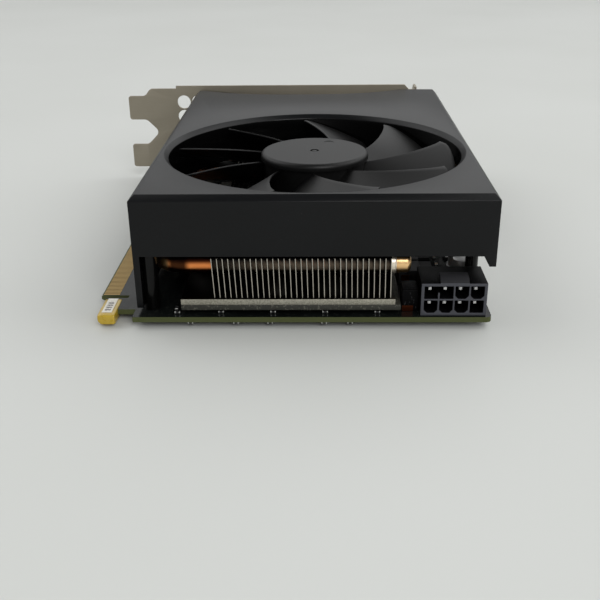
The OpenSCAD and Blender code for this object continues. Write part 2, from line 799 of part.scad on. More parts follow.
module shroud_screws() {
    color("dimgray")
    for (p = shroud_posts) board_screw(p, board_bottom, screw_r, head_r, shroud_screw_length);
}

// Places of the fan's arm screws, between the opening and the corners
function arm_places() = [for (i = [0 : arm_count - 1])
    [fan_x + arm_reach * cos(45 + i * 360 / arm_count), fan_y + arm_reach * sin(45 + i * 360 / arm_count)]];

module fan_base() {
    color([0.1, 0.1, 0.1])
    difference() {
        union() {
            rod([fan_x, fan_y], motor_base_r, base_low, base_top);
            rod([fan_x, fan_y], tube_r, base_low, tube_top);
            for (i = [0 : arm_count - 1]) translate([fan_x, fan_y, base_low]) rotate([0, 0, 45 + i * 360 / arm_count])
                translate([0, -arm_w / 2, 0]) cube([arm_reach, arm_w, base_t]);
            for (p = arm_places()) rod(p, arm_boss_r, base_low, base_top);
        }
        rod([fan_x, fan_y], bearing_r + slip, bearing_low, tube_top + lap);
        rod([fan_x, fan_y], shaft_r + 1.2, base_low + shaft_floor, bearing_low + lap);
        for (p = arm_places()) rod(p, screw_r + slip, base_low - lap, base_top + lap);
    }
}

// Screws that hold the arms to the shroud, with their heads under the arms
module fan_screws() {
    color("silver")
    for (p = arm_places()) {
        rod(p, head_r, base_low - head_h / 2, base_low);
        rod(p, screw_r, base_low - head_h / 4, base_top + fan_screw_length);
    }
}

// Ring about the fan's axis
module fan_ring(inner, outer, z0, z1) {
    translate([fan_x, fan_y, z0]) difference() {
        cylinder(r = outer, h = z1 - z0);
        translate([0, 0, -lap]) cylinder(r = inner, h = z1 - z0 + 2 * lap);
    }
}

module fan_bearing() { color("peru") fan_ring(shaft_r + shaft_clearance, bearing_r, bearing_low, bearing_high); }
module motor_board() {
    color("darkgreen") fan_ring(tube_r + slip, motor_base_r - 1.5, base_top, base_top + motor_board_t);
}

module stator_core() {
    color("slategray")
    translate([fan_x, fan_y, core_low]) difference() {
        union() {
            cylinder(r = tube_r + core_ring, h = core_h);
            for (i = [0 : pole_count - 1]) rotate([0, 0, i * 360 / pole_count]) intersection() {
                difference() {
                    cylinder(r = stator_r, h = core_h);
                    translate([0, 0, -lap]) cylinder(r = stator_r - shoe_t, h = core_h + 2 * lap);
                }
                translate([0, -stator_r * 0.55, 0]) cube([stator_r, stator_r * 1.1, core_h]);
            }
            for (i = [0 : pole_count - 1]) rotate([0, 0, i * 360 / pole_count])
                translate([0, -pole_w / 2, 0]) cube([stator_r - shoe_t / 2, pole_w, core_h]);
        }
        translate([0, 0, -lap]) cylinder(r = tube_r + slip, h = core_h + 2 * lap);
    }
}

// A coil around each pole of the core
module stator_coils() {
    coil_x = tube_r + core_ring + 2 * slip;
    coil_end = sqrt(pow(stator_r - shoe_t, 2) - pow(pole_w / 2 + coil_t, 2)) - slip;
    coil_length = coil_end - coil_x;
    color("chocolate")
    translate([fan_x, fan_y, core_low]) for (i = [0 : pole_count - 1]) rotate([0, 0, i * 360 / pole_count])
        translate([coil_x, 0, 0]) difference() {
            translate([0, -pole_w / 2 - coil_t, -coil_t])
                cube([coil_length, pole_w + 2 * coil_t, core_h + 2 * coil_t]);
            translate([-lap, -pole_w / 2 - slip, -slip])
                cube([coil_length + 2 * lap, pole_w + 2 * slip, core_h + 2 * slip]);
        }
}

// Point on a blade: u runs from the hub to the tip, v from the leading to the trailing edge, side picks the face
function blade_point(u, v, side) =
    let (r = blade_root_r + u * (tip_r - blade_root_r) - tip_corner * pow(u, 4) * pow(2 * v - 1, 4))
    let (a = blade_start + lead_sweep * u - lead_sweep_back * u * u - v * blade_span)
    let (thin = blade_t * (blade_edge + (1 - blade_edge) * sin(180 * (0.04 + 0.92 * v))))
    let (z = lead_z + lead_rise * u - blade_drop * (0.86 * v + 0.14 * v * v) - side * thin)
    [r * cos(a), r * sin(a), z];

module blade() {
    row = chord_steps + 1;
    sheet = row * (radial_steps + 1);
    points = [for (side = [0, 1], i = [0 : radial_steps], j = [0 : chord_steps])
        blade_point(i / radial_steps, j / chord_steps, side)];
    skin = [for (i = [0 : radial_steps - 1], j = [0 : chord_steps - 1])
        let (a = i * row + j)
        each [[a, a + row, a + row + 1], [a, a + row + 1, a + 1]]];
    rim = concat(
        [for (j = [0 : chord_steps]) j],
        [for (i = [1 : radial_steps]) i * row + chord_steps],
        [for (j = [1 : chord_steps]) radial_steps * row + chord_steps - j],
        [for (i = [1 : radial_steps - 1]) (radial_steps - i) * row]);
    rim_count = len(rim);
    faces = concat(
        skin,
        [for (f = skin) [f[0] + sheet, f[2] + sheet, f[1] + sheet]],
        [for (k = [0 : rim_count - 1])
            let (a = rim[k])
            let (b = rim[(k + 1) % rim_count])
            each [[a, b, b + sheet], [a, b + sheet, a + sheet]]]);
    polyhedron(points = points, faces = faces);
}

// Hub as a turned cup: cap with a round edge, skirt, and a boss that takes the shaft
module hub() {
    boss_z = roof_z - 1;
    difference() {
        rotate_extrude() union() {
            translate([0, hub_top - cap_t]) square([hub_r - cap_round, cap_t]);
            translate([0, hub_top - cap_t]) square([hub_r, cap_t - cap_round]);
            translate([hub_r - cap_round, hub_top - cap_round]) circle(r = cap_round);
            translate([skirt_inner, hub_low]) square([skirt_t, roof_z - hub_low + lap / 2]);
            translate([0, boss_z]) square([shaft_r + 1.4, roof_z - boss_z + lap / 2]);
        }
        translate([0, 0, boss_z - lap]) cylinder(r = shaft_r, h = shaft_top - boss_z + lap);
        translate([0, 0, hub_top - 0.3]) cylinder(r = 1.3, h = lap);
        rotate([0, 0, 66]) translate([0.66 * hub_r, 0, hub_top - 0.3]) cylinder(r = 1, h = lap);
    }
}

module fan_rotor() {
    color([0.12, 0.13, 0.13])
    translate([fan_x, fan_y, 0]) union() {
        hub();
        for (i = [0 : blade_count - 1]) rotate([0, 0, i * 360 / blade_count]) blade();
    }
}

// Steel cup inside the hub, with a hole for the boss
module rotor_yoke() {
    color("gray")
    translate([fan_x, fan_y, motor_low]) difference() {
        cylinder(r = skirt_inner - 2 * slip, h = roof_z - slip - motor_low);
        translate([0, 0, -lap]) cylinder(r = yoke_inner, h = roof_z - yoke_t - motor_low + lap);
        translate([0, 0, -lap]) cylinder(r = shaft_r + 1.4 + slip, h = roof_z - motor_low + 2 * lap);
    }
}

module rotor_magnet() { color([0.2, 0.18, 0.17]) fan_ring(magnet_inner, yoke_inner - slip, motor_low, magnet_top); }
module fan_shaft() {
    groove = 0.25;
    color("silver") difference() {
        rod([fan_x, fan_y], shaft_r, shaft_low, shaft_top);
        fan_ring(shaft_r - groove, shaft_r + lap, clip_z - slip, clip_z + clip_t + slip);
    }
}
module shaft_clip() { color("white") fan_ring(shaft_r - 0.2, shaft_r + 0.8, clip_z, clip_z + clip_t); }

// Heatsink

// One C-shaped pipe: high and low legs along X at the two places of ys, joined at x by a leg along Y
module heat_pipe(ys, x, bend, low_end_x) {
    turn = ys[0] < ys[1] ? 1 : -1;
    tilt = atan2(pipe_low_z - pipe_high_z, abs(ys[1] - ys[0]));
    span = norm([ys[1] - ys[0], pipe_rise]);
    translate([0, ys[0], pipe_high_z]) mirror([0, turn > 0 ? 0 : 1, 0]) rotate([tilt, 0, 0]) {
        pipe_leg([x + bend, 0, 0], [0, 90, 0], pipe_end_x - x - bend);
        pipe_leg([x + bend, span, 0], [0, 90, 0], low_end_x - x - bend);
        translate([x, bend, 0]) rotate([-90, 0, 0]) cylinder(r = pipe_r, h = span - 2 * bend);
        translate([x + bend, bend, 0]) rotate([0, 0, 180]) quarter_bend(bend);
        translate([x + bend, span - bend, 0]) rotate([0, 0, 90]) quarter_bend(bend);
    }
}

module quarter_bend(bend) { rotate_extrude(angle = 90) translate([bend, 0]) circle(r = pipe_r); }

// Straight leg with a closed end that has a round edge
module pipe_leg(place, turn, length) {
    translate(place) rotate(turn) rotate_extrude() union() {
        square([pipe_r, length - pipe_end_r]);
        square([pipe_r - pipe_end_r, length]);
        translate([pipe_r - pipe_end_r, length - pipe_end_r]) circle(r = pipe_end_r);
    }
}

module outer_heat_pipe() { color([0.72, 0.4, 0.24]) heat_pipe(outer_pipe, outer_pipe_x, pipe_bend, pipe_end_x - 2); }
module inner_heat_pipe() { color([0.72, 0.4, 0.24]) heat_pipe(inner_pipe, inner_pipe_x, inner_bend, pipe_end_x - 2); }
module rear_heat_pipe() { color([0.72, 0.4, 0.24]) heat_pipe(rear_pipe, outer_pipe_x, pipe_bend, pipe_end_x - 2); }

module heatsink_fins() {
    high = [outer_pipe[0], inner_pipe[0], rear_pipe[0]];
    low = [outer_pipe[1], inner_pipe[1], rear_pipe[1]];
    color([0.78, 0.79, 0.8])
    for (i = [0 : fin_count - 1]) along_x(fin_x + i * fin_pitch, fin_x + i * fin_pitch + fin_t) difference() {
        translate([fin_front, base_plate_top]) square([fin_length, fin_top - base_plate_top]);
        translate([fin_front - lap, front_z - gap]) square([front_inner + gap - fin_front + lap, fin_top]);
        for (y = high) translate([y, pipe_high_z]) circle(r = pipe_r + pipe_hole_gap);
        for (y = low) translate([y, pipe_low_z]) circle(r = pipe_r + pipe_hole_gap);
        for (y = low) translate([y - pipe_r / 2, base_plate_top - lap]) square([pipe_r, lap + 2 * slip]);
    }
}

module heatsink_base() {
    color([0.72, 0.73, 0.73])
    difference() {
        translate([plate_left, plate_front, memory_plate_top])
            cube([plate_right - plate_left, plate_length, base_plate_t]);
        for (p = cooler_screw_places)
            rod(p, cooler_screw_r + slip, memory_plate_top - lap, memory_plate_top + base_plate_t / 2);
    }
}

module memory_plate() {
    color([0.24, 0.24, 0.25])
    difference() {
        union() {
            translate([plate_left, plate_front, plate_z])
                cube([plate_right + memory_plate_extra - plate_left, plate_length, memory_plate_t]);
            for (p = cooler_screw_places) rod(p, cooler_head_r, 0, plate_z + lap / 2);
        }
        box_at([gpu_x, gpu_y], [gpu_w + 1, gpu_w + 1, memory_plate_t + 2 * lap], plate_z - lap);
        for (p = cooler_screw_places) rod(p, cooler_screw_r + slip, -lap, memory_plate_top + lap);
    }
}

module cold_plate() {
    color([0.72, 0.4, 0.24])
    box_at([gpu_x, gpu_y], [cold_plate_w, cold_plate_w, cold_plate_t], memory_plate_top - cold_plate_t);
}

// Parts on the board

module gpu_carrier() { color([0.1, 0.25, 0.15]) box_at([gpu_x, gpu_y], [gpu_w, gpu_w, gpu_t]); }
module gpu_die() { color([0.25, 0.26, 0.3]) box_at([gpu_x, gpu_y], [die_size[0], die_size[1], die_t], gpu_t); }
module heat_paste() {
    color("lightgray") box_at([gpu_x, gpu_y], [die_size[0], die_size[1], paste_t], gpu_t + die_t);
}
module memory_chips() { color([0.1, 0.1, 0.1]) for (p = memory_places) box_at(p, memory_size); }
module thermal_pads() {
    pad = [memory_size[0] - 1, memory_size[1] - 1, plate_z - memory_size[2]];
    color("lightsteelblue") for (p = memory_places) box_at(p, pad, memory_size[2]);
}

// Places of the power stages' rows
function stage_rows() = [for (i = [0 : stage_count - 1]) stage_y + i * stage_pitch];

// Choke in the way of the supply, between the memory plate and the power header
module input_choke() {
    width = input_choke_right - input_choke_left;
    color([0.2, 0.2, 0.21])
        translate([input_choke_left, input_choke_front, 0]) cube([width, input_choke_length, input_choke_h]);
}

module power_chokes() { color([0.2, 0.2, 0.21]) for (y = stage_rows()) box_at([choke_x, y], choke_size); }
module power_stages() { color([0.08, 0.08, 0.08]) for (y = stage_rows()) box_at([stage_x, y], stage_size); }
module capacitor_cans() {
    base = [can_d, can_d, 1];
    color("gainsboro") for (i = [0 : stage_count - 1]) {
        place = [can_x, stage_y + i * can_pitch];
        box_at(place, base);
        rod(place, can_d / 2 - 0.15, base[2] / 2, can_h);
    }
}
module memory_chokes() {
    color([0.2, 0.2, 0.21])
    for (i = [0, 1])
        box_at([side_bay_x, gpu_y + memory_end + small_choke_gap + (2 * i + 0.5) * small_choke[1]], small_choke);
}

// Pairs of small capacitors along the tail edge, in front of the memory plate's chips
module tail_capacitors() {
    columns = floor((plate_right - plate_left - chip_start - chip_size[0]) / chip_pitch) + 1;
    color("tan")
    for (i = [0 : columns - 1], j = [0, 1])
        box_at([plate_left + chip_start + i * chip_pitch, plate_front + chip_edge + j * chip_row], chip_size);
}

module solder_side_capacitors() {
    half = 3;
    color("tan")
    for (i = [-half : half], j = [-half : half]) if (abs(i) != abs(j))
        box_at([gpu_x + i * chip_step, gpu_y + j * chip_step], chip_size, board_bottom - chip_size[2]);
}

module controller_chip() { color([0.08, 0.08, 0.08]) box_at([choke_x, controller_y], controller_size); }
module bios_chip() { color([0.08, 0.08, 0.08]) box_at([choke_x, bios_y], bios_size); }
module clock_crystal() { color("silver") box_at([side_bay_x, crystal_y], crystal_size); }

module fan_header() {
    wall = 0.6;
    color("ivory") difference() {
        box_at([fan_header_x, fan_header_y], fan_header_size);
        box_at([fan_header_x, fan_header_y],
               [fan_header_size[0] - 2 * wall, fan_header_size[1] - 2 * wall, fan_header_size[2]], 2);
        for (i = [-1.5 : 1.5]) box_at([fan_header_x + i * fan_pin_pitch, fan_header_y],
            [fan_pin_w + 2 * slip, fan_pin_w + 2 * slip, fan_header_size[2]], -lap);
    }
}

module fan_header_pins() {
    color("gainsboro")
    for (i = [-1.5 : 1.5]) box_at([fan_header_x + i * fan_pin_pitch, fan_header_y],
        [fan_pin_w, fan_pin_w, fan_header_size[2] - 0.8 + board_t + pin_tail], board_bottom - pin_tail);
}

// Leaf spring under the board: four arms from the cooler screws to a ring that clears the capacitors
module leaf_spring() {
    ring_r = 15.5;
    ring_w = 3.5;
    color("silver")
    translate([gpu_x, gpu_y, board_bottom - spring_t]) difference() {
        union() {
            cylinder(r = ring_r + ring_w, h = spring_t);
            for (a = [45, -45]) rotate([0, 0, a])
                translate([-cooler_screw_x * sqrt(2), -cooler_head_r, 0])
                cube([2 * cooler_screw_x * sqrt(2), 2 * cooler_head_r, spring_t]);
            for (i = [-1, 1], j = [-1, 1]) translate([i * cooler_screw_x, j * cooler_screw_x, 0])
                cylinder(r = cooler_head_r + 0.8, h = spring_t);
        }
        translate([0, 0, -lap]) cylinder(r = ring_r, h = spring_t + 2 * lap);
        for (i = [-1, 1], j = [-1, 1]) translate([i * cooler_screw_x, j * cooler_screw_x, -lap])
            cylinder(r = cooler_screw_r + slip, h = spring_t + 2 * lap);
    }
}

module cooler_screws() {
    color("dimgray")
    for (p = cooler_screw_places)
        board_screw(p, board_bottom - spring_t, cooler_screw_r, cooler_head_r, memory_plate_top + base_plate_t / 3);
}

in_frame() circuit_board();
in_frame() edge_contacts();
in_frame() hook_tape();
in_frame() hook_label();
in_frame() slot_bracket();
in_frame() bracket_screws();
in_frame() narrow_port_shell();
in_frame() narrow_port_tongue();
in_frame() wide_port_shells();
in_frame() wide_port_tongues();
in_frame() power_header();
in_frame() power_pins();
in_frame() shroud();
in_frame() shroud_screws();
in_frame() fan_base();
in_frame() fan_screws();
in_frame() fan_bearing();
in_frame() motor_board();
in_frame() stator_core();
in_frame() stator_coils();
in_frame() fan_rotor();
in_frame() rotor_yoke();
in_frame() rotor_magnet();
in_frame() fan_shaft();
in_frame() shaft_clip();
in_frame() heatsink_fins();
in_frame() heatsink_base();
in_frame() memory_plate();
in_frame() cold_plate();
in_frame() outer_heat_pipe();
in_frame() inner_heat_pipe();
in_frame() rear_heat_pipe();
in_frame() gpu_carrier();
in_frame() gpu_die();
in_frame() heat_paste();
in_frame() memory_chips();
in_frame() thermal_pads();
in_frame() input_choke();
in_frame() power_chokes();
in_frame() power_stages();
in_frame() capacitor_cans();
in_frame() memory_chokes();
in_frame() tail_capacitors();
in_frame() solder_side_capacitors();
in_frame() controller_chip();
in_frame() bios_chip();
in_frame() clock_crystal();
in_frame() fan_header();
in_frame() fan_header_pins();
in_frame() leaf_spring();
in_frame() cooler_screws();
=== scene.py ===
# %% [markdown]
# # A graphics card, dressed in Blender
#
# The card lies on its solder side with the fan up. Its solids come from the CAD frame, in metres and in
# place. This lesson adds what solids lack: small radii on the edges, a fan with smooth blades, solder,
# contacts and small parts on the board, and a finish for every surface. Each step says what the piece is on
# a real card, how it could be made, and why it is made this way.

# %% Load the frame
import json
import math

import bpy
from mathutils import Matrix, Vector


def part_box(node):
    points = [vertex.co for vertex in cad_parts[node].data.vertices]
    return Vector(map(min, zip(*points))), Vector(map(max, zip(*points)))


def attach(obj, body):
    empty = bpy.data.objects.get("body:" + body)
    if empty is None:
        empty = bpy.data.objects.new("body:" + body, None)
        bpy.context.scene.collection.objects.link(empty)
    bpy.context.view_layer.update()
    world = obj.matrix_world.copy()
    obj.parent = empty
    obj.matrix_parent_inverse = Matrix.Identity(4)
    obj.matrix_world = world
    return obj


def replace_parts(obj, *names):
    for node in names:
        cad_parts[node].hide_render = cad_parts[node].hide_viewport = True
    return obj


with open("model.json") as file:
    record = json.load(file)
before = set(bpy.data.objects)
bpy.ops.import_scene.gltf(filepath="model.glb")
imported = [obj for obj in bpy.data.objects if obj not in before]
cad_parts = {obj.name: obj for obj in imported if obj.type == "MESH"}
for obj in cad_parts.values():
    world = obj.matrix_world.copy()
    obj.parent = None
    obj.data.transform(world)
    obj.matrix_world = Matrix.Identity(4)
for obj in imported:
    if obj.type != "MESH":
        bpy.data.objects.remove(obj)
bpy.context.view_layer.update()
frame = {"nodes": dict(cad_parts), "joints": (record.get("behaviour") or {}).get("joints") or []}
nodes = frame["nodes"]

# %% [markdown]
# ## Places on the card
#
# The maker of a card measures from the corner of the board: from the finger edge, from the tail edge and up
# from the component side. The frame's origin is under the middle of the card instead. One helper turns the
# maker's millimetres into the frame's metres, so the numbers below can be read on a real card with a ruler.

# %% Places
board_low, board_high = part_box("circuit_board")
corner = Vector((board_low.x, board_low.y, board_high.z))
board_t = 1000 * (board_high.z - board_low.z)


def spot(x, y, z):
    """Point in metres, for millimetres from the finger edge, the tail edge and the board's upper face."""
    return corner + Vector((x, y, z)) / 1000


print("board corner at", corner, "thickness in mm", board_t)

# %% [markdown]
# ## Camera
#
# The photo looks down on the tail end of the card. Its lens and place were worked out from points whose
# real sizes are standard, so the camera is set by those numbers. An aimed camera would be quicker to write,
# but its roll and lens would have to be guessed by eye.

# %% Camera
lens = bpy.data.cameras.new("camera")
lens.sensor_width = 36
lens.lens = 51.28
lens.clip_start = 0.01
camera = bpy.data.objects.new("camera", lens)
bpy.context.scene.collection.objects.link(camera)
look_left = 1.46
look_down = 24.82
tilt = -0.64
camera_place = (0.016115, -0.29138, 0.10685)
yaw = Matrix.Rotation(math.radians(look_left), 4, "Z")
pitch = Matrix.Rotation(math.radians(90 - look_down), 4, "X")
roll = Matrix.Rotation(math.radians(tilt), 4, "Z")
camera.matrix_world = Matrix.Translation(camera_place) @ yaw @ pitch @ roll
bpy.context.scene.camera = camera
bpy.context.scene.view_settings.view_transform = "Standard"
print("camera at", tuple(camera.location), "with a lens of", lens.lens, "mm")

# %% [markdown]
# ## Shader maths as sums
#
# A finish is a net of nodes, and drawn by hand it is easy to follow. In a script each node and link takes a
# line, and the idea gets lost. This small class wraps a socket, so that a sum such as 0.4 + 0.2 * grain
# adds its Math nodes by itself. Every other node comes from its one method.


# %% A socket that takes part in sums
def join(tree, value, socket):
    """Links a wire to a socket, or sets the socket to a number or colour."""
    if isinstance(value, Wire):
        tree.links.new(value.socket, socket)
    else:
        socket.default_value = value


class Wire:
    """One socket of a node tree. Sums, products and comparisons of wires and numbers add Math nodes."""

    def __init__(self, tree, socket=None):
        self.tree = tree
        self.socket = socket

    def node(self, kind, settings=None, inputs=None, output=0):
        """Adds a node, sets it up, joins its inputs and gives one of its outputs."""
        made = self.tree.nodes.new("ShaderNode" + kind)
        for name, value in (settings or {}).items():
            setattr(made, name, value)
        for name, value in (inputs or {}).items():
            join(self.tree, value, made.inputs[name])
        return Wire(self.tree, made.outputs[output])

    def math(self, operation, *values):
        return self.node("Math", {"operation": operation}, dict(enumerate(values)))

    def part(self, axis):
        """The x, y or z of a vector."""
        return self.node("SeparateXYZ", None, {0: self}, axis.upper())

    def __add__(self, other):
        return self.math("ADD", self, other)

    __radd__ = __add__

    def __sub__(self, other):
        return self.math("SUBTRACT", self, other)

    def __rsub__(self, other):
        return self.math("SUBTRACT", other, self)

    def __mul__(self, other):
        return self.math("MULTIPLY", self, other)

    __rmul__ = __mul__

    def __truediv__(self, other):
        return self.math("DIVIDE", self, other)

    def __lt__(self, other):
        return self.math("LESS_THAN", self, other)

    def __gt__(self, other):
        return self.math("GREATER_THAN", self, other)

    def __abs__(self):
        return self.math("ABSOLUTE", self)

    def fraction(self):
        return self.math("FRACT", self)

    def ease(self, start, end):
        """0 up to start, 1 from end on, and a soft step between them."""
        settings = {"interpolation_type": "SMOOTHSTEP"}
        return self.node("MapRange", settings, {0: self, 1: start, 2: end}, 0)


# %% Helpers for patterns and colours
def paint(red, green, blue):
    """Linear colour for the 0 to 255 values that a screen shows."""
    shares = [value / 255 for value in (red, green, blue)]
    return [share / 12.92 if share < 0.04 else ((share + 0.055) / 1.055) ** 2.4 for share in shares] + [1]


def mix(share, first, second):
    """Colour between first, at 0, and second, at 1."""
    return share.node("Mix", {"data_type": "RGBA"}, {0: share, 6: first, 7: second}, 2)


def noise(place, size, detail=2, stretch=(1, 1, 1)):
    """Cloudy values about 0.5 in spots of size millimetres, drawn out along axes where stretch is over 1."""
    scale = [1000 / size / value for value in stretch]
    drawn = place.node("Mapping", None, {"Vector": place, "Scale": scale})
    return drawn.node("TexNoise", None, {"Vector": drawn, "Scale": 1, "Detail": detail})


def cells(place, size, flat=False, scatter=1, output="Distance"):
    """Distance to the nearest of many scattered points, in cells of size millimetres, or its colour."""
    settings = {"voronoi_dimensions": "2D" if flat else "3D"}
    inputs = {"Vector": place, "Scale": 1000 / size, "Randomness": scatter}
    return place.node("TexVoronoi", settings, inputs, output)


def relief(height, depth):
    """Normal of a surface that is depth millimetres deep where height goes from 1 to 0."""
    return height.node("Bump", None, {"Height": height, "Distance": depth / 1000}, "Normal")


def finish(build):
    """Makes a material. build gets the Object coordinates and gives the values of the shader's sockets."""
    material = bpy.data.materials.new(build.__name__)
    material.use_nodes = True
    tree = material.node_tree
    shader = tree.nodes["Principled BSDF"]
    place = Wire(tree).node("TexCoord", None, None, "Object")
    for socket, value in build(place).items():
        join(tree, value, shader.inputs[socket])
    print("finish", build.__name__, "has", len(tree.nodes), "nodes")
    return material


# %% [markdown]
# ## Table and light
#
# The card lies on a pale table. Most of its light comes from a large soft lamp at the front right, two
# weaker ones fill in from the sides, and the glossy top of the shroud shows the room behind: dark near the
# table, with a bright band of wall higher up. A ring of lamps could copy each reflection, but a sky that is
# painted by direction stays plain.


# %% Table
@finish
def table_top(place):
    cloud = noise(place, 160)
    speck = noise(place, 1.5)
    return {
        "Base Color": mix(cloud, paint(196, 198, 194), paint(206, 208, 205)),
        "Roughness": 0.55 + 0.1 * speck,
        "Specular IOR Level": 0.3,
    }


bpy.ops.object.select_all(action="DESELECT")
bpy.ops.mesh.primitive_plane_add(size=8, location=(0, 2, 0))
table = bpy.context.object
table.name = "table"
table.data.materials.append(table_top)
print("table of", tuple(table.dimensions), "m")

# %% Sky and lamps
world = bpy.data.worlds.new("room")
world.use_nodes = True
bpy.context.scene.world = world
direction = Wire(world.node_tree).node("TexCoord", None, None, "Generated")
behind = (direction.part("y") + 0.5 * direction.part("x")).ease(-0.7, 1.05)
over_camera = (0.91 * direction.part("z") - 0.42 * direction.part("y")).ease(0.68, 0.93)
background = world.node_tree.nodes["Background"]
height = direction.part("z")
side = direction.part("x").ease(-0.45, 0.45)
low_wall = mix(side, (0.08, 0.081, 0.081, 1), (0.32, 0.324, 0.324, 1))
high_wall = mix(side, (1.1, 1.11, 1.11, 1), (1.3, 1.31, 1.31, 1))
ceiling = (0.6, 0.6, 0.6, 1)
front_room = (0.5, 0.5, 0.5, 1)
dark_patch = (0.05, 0.05, 0.05, 1)
wall = mix(height.ease(0.13, 0.37), low_wall, high_wall)
rear = mix(height.ease(0.5, 0.85), wall, ceiling)
walls = mix(behind, front_room, rear)
join(world.node_tree, mix(over_camera, walls, dark_patch), background.inputs["Color"])
print("sky with", len(world.node_tree.nodes), "nodes")


def soft_lamp(name, place, aim, size, watts):
    """Square lamp at a place, turned to a point."""
    light = bpy.data.lights.new(name, "AREA")
    light.size = size
    light.energy = watts
    lamp = bpy.data.objects.new(name, light)
    bpy.context.scene.collection.objects.link(lamp)
    lamp.location = place
    lamp.rotation_euler = (Vector(aim) - Vector(place)).to_track_quat("-Z", "Y").to_euler()
    print(name, "lamp of", size, "m with", watts, "W")


soft_lamp("front", (0.95, -2.5, 2.1), (0, 0, 0), 1.8, 54)
soft_lamp("right", (1.15, 0.15, 1.4), (0, 0, 0), 1.3, 9)
soft_lamp("left", (-1.15, 0.45, 1.4), (0, 0, 0), 1.3, 8)

# %% [markdown]
# ## Finishes of the plastics
#
# The shroud is moulded in a mould with a fine spark-eroded grain outside, so it is dull there and its sheen
# is broken up, and smooth inside. The fan is smoother too. A bump of fine noise gives the grain, a slow
# cloud keeps large faces from looking flat. Each finish is a function of the place on the card, since a
# pattern in millimetres needs no unwrapping.


# %% Plastics
shroud_low, shroud_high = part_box("shroud")
wall_t = 0.0012
rim_h = 0.0013


@finish
def shroud_plastic(place):
    x = place.part("x")
    y = place.part("y")
    grain = noise(place, 0.28, 3)
    cloud = noise(place, 25)
    dust = noise(place, 0.5, 2) > 0.72
    across = (x > shroud_low.x + wall_t) * (x < shroud_high.x - wall_t)
    along = (y > shroud_low.y + wall_t) * (y < shroud_high.y - wall_t)
    outside = 1 - across * along * (place.part("z") < shroud_high.z - rim_h)
    # The inside faces are painted darker than the outside: painted shade inside the shroud. The grain and
    # dust are only outside.
    skin = mix(outside, paint(5, 5, 5), mix(cloud, paint(9, 10, 11), paint(13, 14, 16)))
    return {
        "Base Color": mix(0.2 * dust * outside, skin, paint(66, 66, 64)),
        "Roughness": 0.14 + 0.05 * cloud + outside * (0.12 + 0.1 * grain),
        "Specular IOR Level": 0.21,
        "Normal": relief(grain * outside, 0.02),
    }


@finish
def fan_plastic(place):
    grain = noise(place, 0.2)
    cloud = noise(place, 9)
    return {
        "Base Color": mix(cloud, paint(9, 9, 9), paint(13, 13, 13)),
        "Roughness": 0.34 + 0.12 * grain,
        "Specular IOR Level": 0.24,
        "Normal": relief(grain, 0.008),
    }


header_low, header_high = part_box("power_header")
latch_h = 0.0013
lit_face_depth = 0.00015


@finish
def header_plastic(place):
    grain = noise(place, 0.15)
    cloud = noise(place, 4)
    # Painted highlight: the front face is painted light grey where the front light falls, and the top of the
    # latch ramp is painted mid grey; the rest of the housing is black.
    worn = place.part("y") < header_low.y + lit_face_depth
    latch = place.part("z") > header_high.z - latch_h
    skin = mix(latch, mix(cloud, paint(5, 5, 6), paint(9, 9, 10)), paint(46, 46, 48))
    return {
        "Base Color": mix(worn * (1 - latch), skin, paint(74, 75, 80)),
        "Roughness": 0.4 + 0.12 * grain,
        "Specular IOR Level": 0.06,
        "Normal": relief(grain, 0.006),
    }


@finish
def port_plastic(place):
    grain = noise(place, 0.2)
    return {
        "Base Color": mix(grain, paint(22, 22, 22), paint(34, 34, 34)),
        "Roughness": 0.4 + 0.2 * grain,
        "Normal": relief(grain, 0.006),
    }


@finish
def white_nylon(place):
    grain = noise(place, 0.3)
    cloud = noise(place, 3)
    return {
        "Base Color": mix(cloud, paint(222, 219, 208), paint(236, 234, 226)),
        "Roughness": 0.35 + 0.15 * grain,
        "Normal": relief(grain, 0.008),
        "Subsurface Weight": 0.1,
    }


# %% [markdown]
# ## Finish of the board
#
# A board is glass fibre with a printed coat of black mask over its copper. The coat shows the copper lines
# under it as faint raised strips, and the cut edge shows the olive glass fibre in layers. Lines could be
# modelled, but there are thousands. The material picks patches, lets each have lines along one axis or
# none, and scatters tinned through-holes.


# %% Board
@finish
def solder_mask(place):
    x = place.part("x") * 1000
    y = place.part("y") * 1000
    z = place.part("z") * 1000
    upright = place.node("TexCoord", None, None, "Normal").part("z")
    face = abs(upright) > 0.95
    patch = cells(place, 9, flat=True, output="Color").part("x")
    lines_x = (x / 0.55).fraction() < 0.45
    lines_y = (y / 0.62).fraction() < 0.45
    lines_skew = ((x + y) / 0.8).fraction() < 0.45
    straight = (patch < 0.25) * lines_x + (patch > 0.75) * lines_y
    lines = straight + (abs(patch - 0.5) < 0.1) * lines_skew
    through = cells(place, 2.6, flat=True)
    ring = through < 0.13
    hole = through < 0.06
    coat = mix(lines, paint(14, 16, 16), paint(23, 26, 25))
    tinned = mix(ring, coat, paint(50, 53, 49))
    top = mix(hole, tinned, paint(8, 8, 8))
    fibre = noise(place, 0.5, 3, (4, 4, 0.3))
    layer = (z / 0.26).fraction() < 0.16
    side = mix(0.45 * layer, mix(fibre, paint(66, 72, 42), paint(82, 88, 56)), paint(74, 66, 38))
    return {
        "Base Color": mix(face, side, top),
        "Roughness": 0.62 - 0.38 * face,
        "Specular IOR Level": 0.16,
        "Metallic": 0.4 * ring * face,
        "Normal": relief(lines * face + 0.4 * fibre * (1 - face), 0.02),
    }


@finish
def motor_board_mask(place):
    grain = noise(place, 1.2)
    ring = cells(place, 1.9, flat=True) < 0.15
    coat = mix(grain, paint(18, 62, 38), paint(26, 82, 50))
    return {
        "Base Color": mix(ring, coat, paint(170, 168, 150)),
        "Roughness": 0.35 + 0.2 * grain,
        "Metallic": 0.7 * ring,
    }


